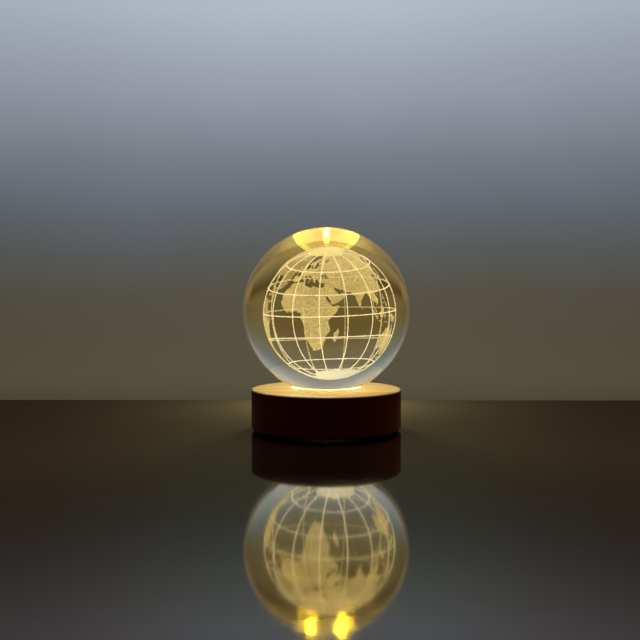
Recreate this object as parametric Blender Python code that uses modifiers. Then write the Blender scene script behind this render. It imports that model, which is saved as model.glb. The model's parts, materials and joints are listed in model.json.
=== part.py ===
"""Crystal ball lamp: a solid glass ball resting on a soft ring in a turned wooden base, lit from below by three LEDs.

Metres, +Z up, origin on the table under the middle of the base. The front is -Y; the inlet and the button are at the back.
"""

import math

import bmesh
import bpy
from mathutils import Matrix, Vector

MM = 0.001
GAP = 0.3  # between pieces that touch

# Ball
BALL_R = 40.0
BALL_Z = 57.5

# Wooden base, turned
BASE_R = 36.0
BASE_BOTTOM = 1.2
BASE_TOP = 20.0
WELL_R = 17.3  # light hole through the top
CAVITY_R = 28.0
CAVITY_ROOF = 11.5
REBATE_R = 32.9  # for the bottom cover
REBATE_TOP = 3.2

# Lamp cup, LED board
CUP_OUT_R = 16.9
CUP_IN_R = 15.3
CUP_RIM = 18.6
CUP_FLOOR = 12.8
CUP_UNDER = 9.9
CUP_FLANGE_R = 21.6
CUP_SCREW_RADIUS = 19.6
BOARD_R = 14.9
BOARD_T = 1.3
LED_RADIUS = 10.2
LED_SIDE = 5.0
LED_T = 1.4
LED_AZIMUTHS = (30.0, 150.0, 270.0)
BOARD_SCREW_AZIMUTHS = (210.0, 330.0)
BOARD_SCREW_RADIUS = 10.2

# Rear inlet and button
SIDE_Z = 7.2  # height of both on the side
POCKET_W, POCKET_H, POCKET_FLOOR_Y = 13.0, 7.2, 30.0
SHELL_W, SHELL_H, SHELL_T = 8.94, 3.26, 0.3
SHELL_BACK_Y, SHELL_MOUTH_Y = 23.3, 30.6
INLET_BOARD = (13.0, 9.2, 1.2)
INLET_BOARD_Y = 22.2
BUTTON_AZIMUTH = 60.0
BUTTON_R = 2.6
BUTTON_FLANGE_R = 3.4
BUTTON_TRAVEL = 1.5
SWITCH_SIDE = 5.8

# Bottom cover and feet
COVER_R = 32.6
COVER_TOP = 2.9
COVER_SCREW_RADIUS = 29.9
COVER_SCREW_AZIMUTHS = (30.0, 150.0, 270.0)
FOOT_R = 4.0
FOOT_T = 0.9
FOOT_RADIUS = 24.0
WIRE_R = 0.55

BOARD_UNDER = CUP_FLOOR + GAP
BOARD_TOP = BOARD_UNDER + BOARD_T
SHELL_UNDER = SIDE_Z - SHELL_H / 2
INLET_BOARD_TOP = SHELL_UNDER - GAP
INLET_BOARD_UNDER = INLET_BOARD_TOP - INLET_BOARD[2]

for old in list(bpy.data.objects):
    bpy.data.objects.remove(old, do_unlink=True)

lamp = bpy.data.collections.new("crystal_ball_lamp")
bpy.context.scene.collection.children.link(lamp)
cutters = bpy.data.collections.new("cutters")
bpy.context.scene.collection.children.link(cutters)
cutters.hide_render = True


def linear(c):
    c /= 255
    return c / 12.92 if c <= 0.04045 else ((c + 0.055) / 1.055) ** 2.4


def material(name, rgb, roughness, metallic=0.0, transmission=0.0, ior=1.5, emission=0.0):
    mat = bpy.data.materials.new(name)
    mat.use_nodes = True
    bsdf = mat.node_tree.nodes["Principled BSDF"]
    colour = (*(linear(c) for c in rgb), 1.0)
    bsdf.inputs["Base Color"].default_value = colour
    bsdf.inputs["Roughness"].default_value = roughness
    bsdf.inputs["Metallic"].default_value = metallic
    bsdf.inputs["Transmission Weight"].default_value = transmission
    bsdf.inputs["IOR"].default_value = ior
    if emission:
        bsdf.inputs["Emission Color"].default_value = colour
        bsdf.inputs["Emission Strength"].default_value = emission
    mat.diffuse_color = colour
    return mat


GLASS = material("clear_glass", (244, 246, 246), 0.0, transmission=1.0, ior=1.517)
SILICONE = material("clear_silicone", (240, 236, 220), 0.3, transmission=0.6, ior=1.41)
WOOD = material("stained_wood", (70, 34, 24), 0.45)
WHITE_PLASTIC = material("white_plastic", (236, 232, 222), 0.4)
BLACK_PLASTIC = material("black_plastic", (26, 25, 25), 0.5)
RUBBER = material("black_rubber", (34, 34, 35), 0.85)
WHITE_BOARD = material("white_board", (232, 230, 222), 0.35)
GREEN_BOARD = material("green_board", (28, 84, 52), 0.4)
STEEL = material("steel", (190, 190, 188), 0.3, metallic=1.0)
LED_LENS = material("warm_led", (255, 222, 150), 0.4, emission=4.0)
RESISTOR = material("resistor_body", (30, 30, 34), 0.5)
RED_WIRE = material("red_wire", (170, 28, 26), 0.45)
BLACK_WIRE = material("black_wire", (24, 24, 25), 0.45)


def add(name, mesh, mat=None, home=None):
    obj = bpy.data.objects.new(name, mesh)
    (home or lamp).objects.link(obj)
    if mat and not mesh.materials:
        mesh.materials.append(mat)
    return obj


def smooth(mesh, degrees=32):
    mesh.shade_smooth()
    mesh.set_sharp_from_angle(angle=math.radians(degrees))


def applied(obj):
    """The object's modifiers, made part of its mesh."""
    bpy.context.view_layer.update()
    graph = bpy.context.evaluated_depsgraph_get()
    mesh = bpy.data.meshes.new_from_object(obj.evaluated_get(graph))
    old = obj.data
    mesh.name = old.name
    obj.modifiers.clear()
    obj.data = mesh
    if old.users == 0:
        bpy.data.meshes.remove(old)
    smooth(mesh)
    return obj


def turned(name, profile, mat=None, segments=64, home=None):
    """A shape turned about Z from points (radius, height) in mm, which run down the outer side. Points on the axis start
    and end an open profile; any other profile is a closed loop."""
    mesh = bpy.data.meshes.new(name)
    bm = bmesh.new()
    points = [bm.verts.new((r * MM, 0, z * MM)) for r, z in profile]
    for a, b in zip(points, points[1:]):
        bm.edges.new((a, b))
    if profile[0][0] > 0:
        bm.edges.new((points[-1], points[0]))
    bm.to_mesh(mesh)
    bm.free()
    obj = add(name, mesh, mat, home)
    screw = obj.modifiers.new("turn", "SCREW")
    screw.axis = "Z"
    screw.angle = 2 * math.pi
    screw.steps = screw.render_steps = segments
    screw.use_merge_vertices = True
    screw.merge_threshold = 0.00001
    return applied(obj)


def fillet(centre, radius, start, end, steps):
    """Points of an arc about (radius, height), from one angle to another in degrees."""
    angles = [math.radians(start + (end - start) * i / steps) for i in range(steps + 1)]
    return [(centre[0] + radius * math.cos(a), centre[1] + radius * math.sin(a)) for a in angles]


def block(name, size, centre, mat=None, bevel=0.0, along=None, steps=2, home=None):
    """A box with its size and centre in mm. Bevel rounds all its edges, or only those along one axis."""
    mesh = bpy.data.meshes.new(name)
    bm = bmesh.new()
    bmesh.ops.create_cube(bm, size=1.0)
    bmesh.ops.scale(bm, vec=Vector(size) * MM, verts=bm.verts)
    if bevel:
        edges = list(bm.edges)
        if along is not None:
            edges = [e for e in edges if abs((e.verts[0].co - e.verts[1].co).normalized()[along]) > 0.9]
        bmesh.ops.bevel(bm, geom=edges, offset=bevel * MM, segments=steps, profile=0.5, affect="EDGES")
    bm.to_mesh(mesh)
    bm.free()
    smooth(mesh)
    obj = add(name, mesh, mat, home)
    obj.location = Vector(centre) * MM
    return obj


def round_bar(name, radius, low, high, mat=None, segments=24, home=None, top_radius=None):
    """A cylinder or cone about local Z between two heights in mm."""
    mesh = bpy.data.meshes.new(name)
    bm = bmesh.new()
    bmesh.ops.create_cone(
        bm,
        cap_ends=True,
        segments=segments,
        radius1=radius * MM,
        radius2=(radius if top_radius is None else top_radius) * MM,
        depth=(high - low) * MM,
        matrix=Matrix.Translation((0, 0, (low + high) / 2 * MM)),
    )
    bm.to_mesh(mesh)
    bm.free()
    smooth(mesh)
    return add(name, mesh, mat, home)


def around(obj, azimuth, radius):
    """Places an object at a radius from the lamp's axis, turned to face outwards."""
    a = math.radians(azimuth)
    obj.location.x, obj.location.y = radius * MM * math.cos(a), radius * MM * math.sin(a)
    obj.rotation_euler.z = a - math.pi / 2
    return obj


def cut(obj, tools, operation="DIFFERENCE"):
    """Cuts or joins the object with each tool, which is kept as a hidden helper."""
    for tool in tools:
        if tool.name in lamp.objects:
            lamp.objects.unlink(tool)
            cutters.objects.link(tool)
        tool.hide_render = True
        tool.display_type = "WIRE"
        boolean = obj.modifiers.new(tool.name, "BOOLEAN")
        boolean.operation = operation
        boolean.solver = "EXACT"
        boolean.object = tool
    return obj


def copies(first, names):
    """The first object and its copies, which share its mesh."""
    first.name = names[0]
    found = [first]
    for name in names[1:]:
        twin = add(name, first.data)
        twin.location = first.location
        twin.rotation_euler = first.rotation_euler
        found.append(twin)
    return found


# The ball: one solid piece of optical glass.
mesh = bpy.data.meshes.new("crystal_ball")
bm = bmesh.new()
bmesh.ops.create_uvsphere(bm, u_segments=48, v_segments=24, radius=BALL_R * MM)
bm.to_mesh(mesh)
bm.free()
mesh.shade_smooth()
ball = add("crystal_ball", mesh, GLASS)
ball.location.z = BALL_Z * MM

# The soft ring that the ball rests on. Its top follows the ball, one gap below it.


def under_ball(radius):
    return BALL_Z - math.sqrt((BALL_R + GAP) ** 2 - radius**2)


seat_ring = turned(
    "seat_ring",
    [
        (15.5, under_ball(15.5)),
        (16.7, under_ball(16.7)),
        (17.0, 20.65),
        (17.0, CUP_RIM + GAP),
        (15.5, CUP_RIM + GAP),
    ],
    SILICONE,
)

# The turned wooden base, with its light hole, its hollow and the rebate of the bottom cover.
base = turned(
    "wooden_base",
    [(WELL_R, BASE_TOP - 0.4), (WELL_R + 0.4, BASE_TOP)]
    + fillet((BASE_R - 0.7, BASE_TOP - 0.7), 0.7, 90, 0, 3)
    + fillet((BASE_R - 0.9, BASE_BOTTOM + 0.9), 0.9, 0, -90, 3)
    + [
        (REBATE_R, BASE_BOTTOM),
        (REBATE_R, REBATE_TOP),
        (CAVITY_R, REBATE_TOP),
        (CAVITY_R, CAVITY_ROOF),
        (WELL_R, CAVITY_ROOF),
    ],
    WOOD,
    segments=64,
)
base_tools = [
    block(
        "inlet_pocket_cut",
        (POCKET_W, 10.0, POCKET_H),
        (0, POCKET_FLOOR_Y + 5.0, SIDE_Z),
        bevel=POCKET_H / 2 - 0.01,
        along=1,
        steps=6,
    ),
    block(
        "inlet_shell_cut",
        (SHELL_W + 2 * GAP, 10.0, SHELL_H + 2 * GAP),
        (0, 29.0, SIDE_Z),
        bevel=1.6,
        along=1,
        steps=5,
    ),
]
button_hole = round_bar("button_hole_cut", BUTTON_R + GAP, 25.0, 40.0)
button_flange_hole = round_bar("button_flange_cut", BUTTON_FLANGE_R + GAP, 25.0, 30.6)
for azimuth in COVER_SCREW_AZIMUTHS:
    pilot = round_bar(f"cover_pilot_cut_{azimuth:.0f}", 1.2, 2.0, 9.6, segments=12)
    base_tools.append(around(pilot, azimuth, COVER_SCREW_RADIUS))
    pilot = round_bar(f"cup_pilot_cut_{azimuth:.0f}", 1.2, 10.0, 16.6, segments=12)
    base_tools.append(around(pilot, azimuth, CUP_SCREW_RADIUS))

# The button's axis: local +Y runs outwards along it.
button_axis = bpy.data.objects.new("button_axis", None)
lamp.objects.link(button_axis)
button_axis.location.z = SIDE_Z * MM
button_axis.rotation_euler.z = math.radians(BUTTON_AZIMUTH - 90)


def on_button_axis(obj, turn=True):
    obj.parent = button_axis
    if turn:  # its own Z then runs outwards
        obj.rotation_euler.x = -math.pi / 2
    return obj


for tool in (button_hole, button_flange_hole):
    on_button_axis(tool)
    base_tools.append(tool)
cut(base, base_tools)

# The lamp cup, pushed up into the base from below and held by three screws through its flange.
cup = turned(
    "lamp_cup",
    [
        (2.6, CUP_FLOOR),
        (CUP_IN_R, CUP_FLOOR),
        (CUP_IN_R, CUP_RIM - 0.2),
        (CUP_IN_R + 0.2, CUP_RIM),
        (CUP_OUT_R - 0.2, CUP_RIM),
        (CUP_OUT_R, CUP_RIM - 0.2),
        (CUP_OUT_R, CAVITY_ROOF - GAP),
        (CUP_FLANGE_R, CAVITY_ROOF - GAP),
        (CUP_FLANGE_R, CUP_UNDER),
        (2.6, CUP_UNDER),
    ],
    WHITE_PLASTIC,
    segments=56,
)
cup_tools = []
for azimuth in COVER_SCREW_AZIMUTHS:
    hole = round_bar(f"cup_screw_cut_{azimuth:.0f}", 1.2, 9.0, 12.0, segments=16)
    cup_tools.append(around(hole, azimuth, CUP_SCREW_RADIUS))
for azimuth in BOARD_SCREW_AZIMUTHS:
    hole = round_bar(f"cup_pilot_{azimuth:.0f}", 1.1, 10.5, 14.0, segments=16)
    cup_tools.append(around(hole, azimuth, BOARD_SCREW_RADIUS))
cut(cup, cup_tools)

# The LED board lies on the cup's floor.
board = round_bar("led_board", BOARD_R, BOARD_UNDER, BOARD_TOP, WHITE_BOARD, segments=48)
board_tools = []
for azimuth in BOARD_SCREW_AZIMUTHS:
    hole = round_bar(f"board_hole_cut_{azimuth:.0f}", 1.1, 12.0, 16.0, segments=12)
    board_tools.append(around(hole, azimuth, BOARD_SCREW_RADIUS))
cut(board, board_tools)

led = block("led", (LED_SIDE, LED_SIDE, LED_T), (0, 0, 0), LED_LENS, bevel=0.25, steps=2)
led.location.z = (BOARD_TOP + GAP + LED_T / 2) * MM
for obj, azimuth in zip(copies(led, ["led_1", "led_2", "led_3"]), LED_AZIMUTHS):
    around(obj, azimuth, LED_RADIUS)

resistor = block("resistor", (3.2, 1.6, 0.6), (0, 0, 0), RESISTOR, bevel=0.1, steps=1)
resistor.location.z = (BOARD_TOP + GAP + 0.3) * MM
for obj, x in zip(copies(resistor, ["resistor_1", "resistor_2"]), (-2.6, 2.6)):
    obj.location.x = x * MM
    obj.rotation_euler.z = math.pi / 2


def screw_mesh(name, shaft_r, head_r, tip, head_low, head_high, countersunk=False, segments=14):
    """A screw standing head up about Z, with a cross recess."""
    if countersunk:
        head = [(head_r, head_high), (head_r, head_high - 0.2), (shaft_r, head_low)]
    else:
        head = [(head_r - 0.35, head_high), (head_r, head_high - 0.4), (head_r, head_low), (shaft_r, head_low)]
    obj = turned(
        name,
        [(0, head_high)] + head + [(shaft_r, tip + 1.0), (0.15, tip), (0, tip)],
        STEEL,
        segments=segments,
    )
    depth = (head_high - head_low) * 0.55
    slots = [
        block(f"{name}_slot_{i}", size, (0, 0, head_high), home=cutters)
        for i, size in enumerate(((head_r * 1.1, 0.42, 2 * depth), (0.42, head_r * 1.1, 2 * depth)))
    ]
    cut(obj, slots)
    applied(obj)
    for slot in slots:
        bpy.data.objects.remove(slot, do_unlink=True)
    return obj


# Board screws: from above, through the board into the cup's floor.
head_low = BOARD_TOP + GAP
first = screw_mesh("board_screw", 0.8, 1.8, 10.9, head_low, head_low + 1.1)
for obj, azimuth in zip(copies(first, ["board_screw_1", "board_screw_2"]), BOARD_SCREW_AZIMUTHS):
    around(obj, azimuth, BOARD_SCREW_RADIUS)

# Cup screws: from below, through the flange into the wood. Their own Z points down.
first = screw_mesh("cup_screw", 0.9, 1.8, -16.2, -(CUP_UNDER - GAP), -(CUP_UNDER - GAP) + 1.2)
for obj, azimuth in zip(copies(first, ["cup_screw_1", "cup_screw_2", "cup_screw_3"]), COVER_SCREW_AZIMUTHS):
    obj.rotation_euler.x = math.pi
    around(obj, azimuth, CUP_SCREW_RADIUS)

# Inlet board, on two bosses of the cover, with the socket at the back.
inlet_board = block(
    "inlet_board",
    INLET_BOARD,
    (0, INLET_BOARD_Y, (INLET_BOARD_TOP + INLET_BOARD_UNDER) / 2),
    GREEN_BOARD,
)
boss_y = INLET_BOARD_Y - 2.7
boss_x = 4.6
board_holes = []
for side in (-1, 1):
    hole = round_bar(f"inlet_board_cut_{side + 1}", 1.1, 3.0, 7.0, segments=12)
    hole.location = (side * boss_x * MM, boss_y * MM, 0)
    board_holes.append(hole)
cut(inlet_board, board_holes)

first = screw_mesh("inlet_screw", 0.8, 1.7, 1.9, INLET_BOARD_TOP + GAP, INLET_BOARD_TOP + GAP + 1.0)
for obj, side in zip(copies(first, ["inlet_screw_1", "inlet_screw_2"]), (-1, 1)):
    obj.location = (side * boss_x * MM, boss_y * MM, 0)

shell_length = SHELL_MOUTH_Y - SHELL_BACK_Y
shell_mid = (SHELL_MOUTH_Y + SHELL_BACK_Y) / 2
shell = block(
    "usb_socket_shell",
    (SHELL_W, shell_length, SHELL_H),
    (0, shell_mid, SIDE_Z),
    STEEL,
    bevel=1.28,
    along=1,
    steps=5,
)
cut(
    shell,
    [
        block(
            "usb_shell_bore",
            (SHELL_W - 2 * SHELL_T, shell_length + 4, SHELL_H - 2 * SHELL_T),
            (0, shell_mid, SIDE_Z),
            bevel=1.0,
            along=1,
            steps=5,
        )
    ],
)
insert = block(
    "usb_socket_tongue",
    (SHELL_W - 2 * SHELL_T - 2 * GAP, 1.6, SHELL_H - 2 * SHELL_T - 2 * GAP),
    (0, SHELL_BACK_Y + 0.8, SIDE_Z),
    BLACK_PLASTIC,
    bevel=0.7,
    along=1,
    steps=3,
)
cut(
    insert,
    [block("tongue_join", (6.6, 5.6, 0.7), (0, SHELL_BACK_Y + 3.8, SIDE_Z), bevel=0.15, along=0, steps=1)],
    "UNION",
)

# The switch, its plunger and the button cap, all on the button's axis.
switch = on_button_axis(
    block("switch_body", (SWITCH_SIDE, 5.0, SWITCH_SIDE), (0, 24.5, 0), BLACK_PLASTIC, bevel=0.3),
    turn=False,
)
plunger_way = on_button_axis(block("plunger_way_cut", (2.8, 6.5, 2.8), (0, 26.75, 0)), turn=False)
cut(switch, [plunger_way])
plunger = on_button_axis(
    block("switch_plunger", (2.2, 3.4, 2.2), (0, 27.3, 0), WHITE_PLASTIC, bevel=0.2, steps=1),
    turn=False,
)
button = on_button_axis(
    turned(
        "button_cap",
        [(0, 37.0), (1.2, 36.95), (2.1, 36.75), (BUTTON_R - 0.15, 36.5), (BUTTON_R, 36.2)]
        + [(BUTTON_R, 30.3), (BUTTON_FLANGE_R, 30.3), (BUTTON_FLANGE_R, 29.3), (0, 29.3)],
        BLACK_PLASTIC,
        segments=28,
    )
)

# The bottom cover, with the bosses of the inlet board.
cover = turned(
    "bottom_cover",
    [(0, COVER_TOP), (COVER_R, COVER_TOP), (COVER_R, BASE_BOTTOM + 0.3), (COVER_R - 0.3, BASE_BOTTOM), (0, BASE_BOTTOM)],
    BLACK_PLASTIC,
    segments=64,
)
bosses, cover_holes = [], []
for side in (-1, 1):
    boss = round_bar(f"boss_join_{side + 1}", 2.0, COVER_TOP - 0.8, INLET_BOARD_UNDER - GAP)
    pilot = round_bar(f"boss_pilot_cut_{side + 1}", 1.1, 1.7, 6.0, segments=12)
    for obj in (boss, pilot):
        obj.location = (side * boss_x * MM, boss_y * MM, 0)
    bosses.append(boss)
    cover_holes.append(pilot)
for azimuth in COVER_SCREW_AZIMUTHS:
    hole = round_bar(f"cover_hole_cut_{azimuth:.0f}", 1.2, 0.0, 4.0, segments=16)
    sink = round_bar(f"cover_sink_cut_{azimuth:.0f}", 2.51, 0.6, 2.65, segments=16, top_radius=0.93)
    cover_holes += [around(hole, azimuth, COVER_SCREW_RADIUS), around(sink, azimuth, COVER_SCREW_RADIUS)]
cut(cover, bosses, "UNION")
cut(cover, cover_holes)

first = screw_mesh("cover_screw", 0.9, 1.75, -9.0, -2.35, -BASE_BOTTOM - 0.05, countersunk=True)
names = ["cover_screw_1", "cover_screw_2", "cover_screw_3"]
for obj, azimuth in zip(copies(first, names), COVER_SCREW_AZIMUTHS):
    obj.rotation_euler.x = math.pi
    around(obj, azimuth, COVER_SCREW_RADIUS)

# Rubber feet.
foot = turned(
    "foot",
    [(0, FOOT_T), (FOOT_R, FOOT_T), (FOOT_R, 0.2), (FOOT_R - 0.2, 0), (0, 0)],
    RUBBER,
    segments=28,
)
for obj, azimuth in zip(copies(foot, ["foot_1", "foot_2", "foot_3", "foot_4"]), (45, 135, 225, 315)):
    around(obj, azimuth, FOOT_RADIUS)


def spline_points(knots, spacing=1.3):
    """Points at about this spacing along a smooth curve through the knots (centripetal Catmull-Rom), in mm."""
    knots = [Vector(k) for k in knots]
    knots = [2 * knots[0] - knots[1]] + knots + [2 * knots[-1] - knots[-2]]
    points = []
    for p0, p1, p2, p3 in zip(knots, knots[1:], knots[2:], knots[3:]):
        t0 = 0.0
        t1 = t0 + (p1 - p0).length ** 0.5
        t2 = t1 + (p2 - p1).length ** 0.5
        t3 = t2 + (p3 - p2).length ** 0.5
        count = max(2, round((p2 - p1).length / spacing))
        for i in range(count):
            t = t1 + (t2 - t1) * i / count
            a1 = p0 * ((t1 - t) / (t1 - t0)) + p1 * ((t - t0) / (t1 - t0))
            a2 = p1 * ((t2 - t) / (t2 - t1)) + p2 * ((t - t1) / (t2 - t1))
            a3 = p2 * ((t3 - t) / (t3 - t2)) + p3 * ((t - t2) / (t3 - t2))
            b1 = a1 * ((t2 - t) / (t2 - t0)) + a2 * ((t - t0) / (t2 - t0))
            b2 = a2 * ((t3 - t) / (t3 - t1)) + a3 * ((t - t1) / (t3 - t1))
            points.append(b1 * ((t2 - t) / (t2 - t1)) + b2 * ((t - t1) / (t2 - t1)))
    return points + [knots[-2]]


def wire(name, knots, mat):
    curve = bpy.data.curves.new(name, "CURVE")
    curve.dimensions = "3D"
    points = spline_points(knots)
    spline = curve.splines.new("POLY")
    spline.points.add(len(points) - 1)
    for slot, point in zip(spline.points, points):
        slot.co = (*(point * MM), 1.0)
    curve.bevel_depth = WIRE_R * MM
    curve.bevel_resolution = 2
    curve.use_fill_caps = True
    curve.materials.append(mat)
    obj = bpy.data.objects.new(name, curve)
    lamp.objects.link(obj)
    return obj


# Wires: from the inlet board up through the middle of the cup's floor to the LED board, one of them by way of the switch.
board_edge = INLET_BOARD_TOP + GAP + WIRE_R
under_board = BOARD_UNDER - GAP
b = math.radians(BUTTON_AZIMUTH)
switch_back = Vector((math.cos(b), math.sin(b), 0)) * (22.0 - GAP)
across = Vector((math.sin(b), -math.cos(b), 0))
wire(
    "wire_black",
    [(-1.5, 20.0, board_edge), (-1.6, 17.4, board_edge), (-2.6, 12.0, 4.9), (-3.2, 6.0, 4.5), (-1.2, 1.4, 6.4)]
    + [(-1.0, 0.0, 9.2), (-1.0, 0.0, under_board)],
    BLACK_WIRE,
)
wire(
    "wire_red_inlet",
    [(1.5, 20.0, board_edge), (1.6, 17.6, board_edge), (3.0, 14.6, 5.4), (6.0, 14.0, 5.6)]
    + [tuple(switch_back - across * 1.4 - switch_back.normalized() * 2.2 + Vector((0, 0, 6.4)))]
    + [tuple(switch_back - across * 1.4 + Vector((0, 0, 6.4)))],
    RED_WIRE,
)
wire(
    "wire_red_lamp",
    [tuple(switch_back + across * 1.4 + Vector((0, 0, 6.4)))]
    + [tuple(switch_back + across * 1.4 - switch_back.normalized() * 2.2 + Vector((0, 0, 6.4)))]
    + [(9.4, 10.4, 5.4), (6.0, 5.0, 4.6), (2.2, 1.0, 6.2), (1.0, 0.0, 9.2), (1.0, 0.0, under_board)],
    RED_WIRE,
)
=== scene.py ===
"""Looks of the crystal ball lamp: glass ball with a globe engraved inside it, on a round wooden base that lights it.

Sizes in this script are in mm and turned into metres by MM. The front is -Y; the inlet and the button are at the back.
"""

import json
import math

import bmesh
import bpy
import numpy as np
from mathutils import Matrix, Vector

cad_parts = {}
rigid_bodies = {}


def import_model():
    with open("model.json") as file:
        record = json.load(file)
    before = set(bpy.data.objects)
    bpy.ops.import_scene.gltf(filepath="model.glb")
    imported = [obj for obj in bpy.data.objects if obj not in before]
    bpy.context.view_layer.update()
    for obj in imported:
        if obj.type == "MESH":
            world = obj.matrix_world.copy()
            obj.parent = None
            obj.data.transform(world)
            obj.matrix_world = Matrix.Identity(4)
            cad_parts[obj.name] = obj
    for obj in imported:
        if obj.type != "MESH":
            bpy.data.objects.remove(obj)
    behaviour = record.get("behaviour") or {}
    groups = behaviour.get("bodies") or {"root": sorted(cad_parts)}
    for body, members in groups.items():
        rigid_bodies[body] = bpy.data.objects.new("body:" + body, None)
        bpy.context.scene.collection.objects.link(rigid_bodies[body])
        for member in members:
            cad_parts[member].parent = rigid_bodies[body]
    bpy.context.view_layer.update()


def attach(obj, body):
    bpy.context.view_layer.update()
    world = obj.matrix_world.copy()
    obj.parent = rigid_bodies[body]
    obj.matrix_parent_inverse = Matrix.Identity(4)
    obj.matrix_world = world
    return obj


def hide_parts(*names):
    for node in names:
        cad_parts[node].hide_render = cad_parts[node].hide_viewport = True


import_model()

MM = 0.001
GAP = 0.3

# The frame's own sizes, in mm.
BALL_R, BALL_Z = 40.0, 57.5
BASE_R, BASE_BOTTOM, BASE_TOP, WELL_R = 36.0, 1.2, 20.0, 17.3
CAVITY_R, CAVITY_ROOF, REBATE_R, REBATE_TOP = 28.0, 11.5, 32.9, 3.2
CUP_OUT_R, CUP_IN_R, CUP_RIM, CUP_FLOOR, CUP_UNDER, CUP_FLANGE_R = 16.9, 15.3, 18.6, 12.8, 9.9, 21.6
CUP_SCREW_RADIUS, BOARD_R, BOARD_T = 19.6, 14.9, 1.3
LED_RADIUS, LED_SIDE, LED_T = 10.2, 5.0, 1.4
LED_AZIMUTHS = (30.0, 150.0, 270.0)
BOARD_SCREW_AZIMUTHS, BOARD_SCREW_RADIUS = (210.0, 330.0), 10.2
SIDE_Z, POCKET_W, POCKET_H, POCKET_FLOOR_Y = 7.2, 13.0, 7.2, 30.0
SHELL_W, SHELL_H, SHELL_T, SHELL_BACK_Y, SHELL_MOUTH_Y = 8.94, 3.26, 0.3, 23.3, 30.6
INLET_BOARD, INLET_BOARD_Y = (13.0, 9.2, 1.2), 22.2
BUTTON_AZIMUTH, BUTTON_R, BUTTON_FLANGE_R, SWITCH_SIDE = 60.0, 2.6, 3.4, 5.8
COVER_R, COVER_TOP, COVER_SCREW_RADIUS = 32.6, 2.9, 29.9
SCREW_AZIMUTHS = (30.0, 150.0, 270.0)
FOOT_R, FOOT_T, FOOT_RADIUS, WIRE_R = 4.0, 0.9, 24.0, 0.55
BOARD_UNDER = CUP_FLOOR + GAP
BOARD_TOP = BOARD_UNDER + BOARD_T
SHELL_UNDER = SIDE_Z - SHELL_H / 2
INLET_BOARD_TOP = SHELL_UNDER - GAP
INLET_BOARD_UNDER = INLET_BOARD_TOP - INLET_BOARD[2]

# The engraved globe, inside the ball.
GLOBE_R = 20.95
GLOBE_AT = (1.1, 0.0, BALL_Z - 0.8)
GLOBE_FACES_LON = 40.3  # degrees east, at the front
GLOBE_TILT = 3.3  # north pole towards the viewer
GLOBE_ROLL = -1.7
PARALLELS = (-49.5, -22.0, 0.2, 22.7, 49.5)

scene = bpy.context.scene
RNG = np.random.default_rng(11)


# ---------------------------------------------------------------- materials


def linear(*rgb):
    out = []
    for c in rgb:
        c /= 255
        out.append(c / 12.92 if c <= 0.04045 else ((c + 0.055) / 1.055) ** 2.4)
    return (*out, 1.0)


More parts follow.
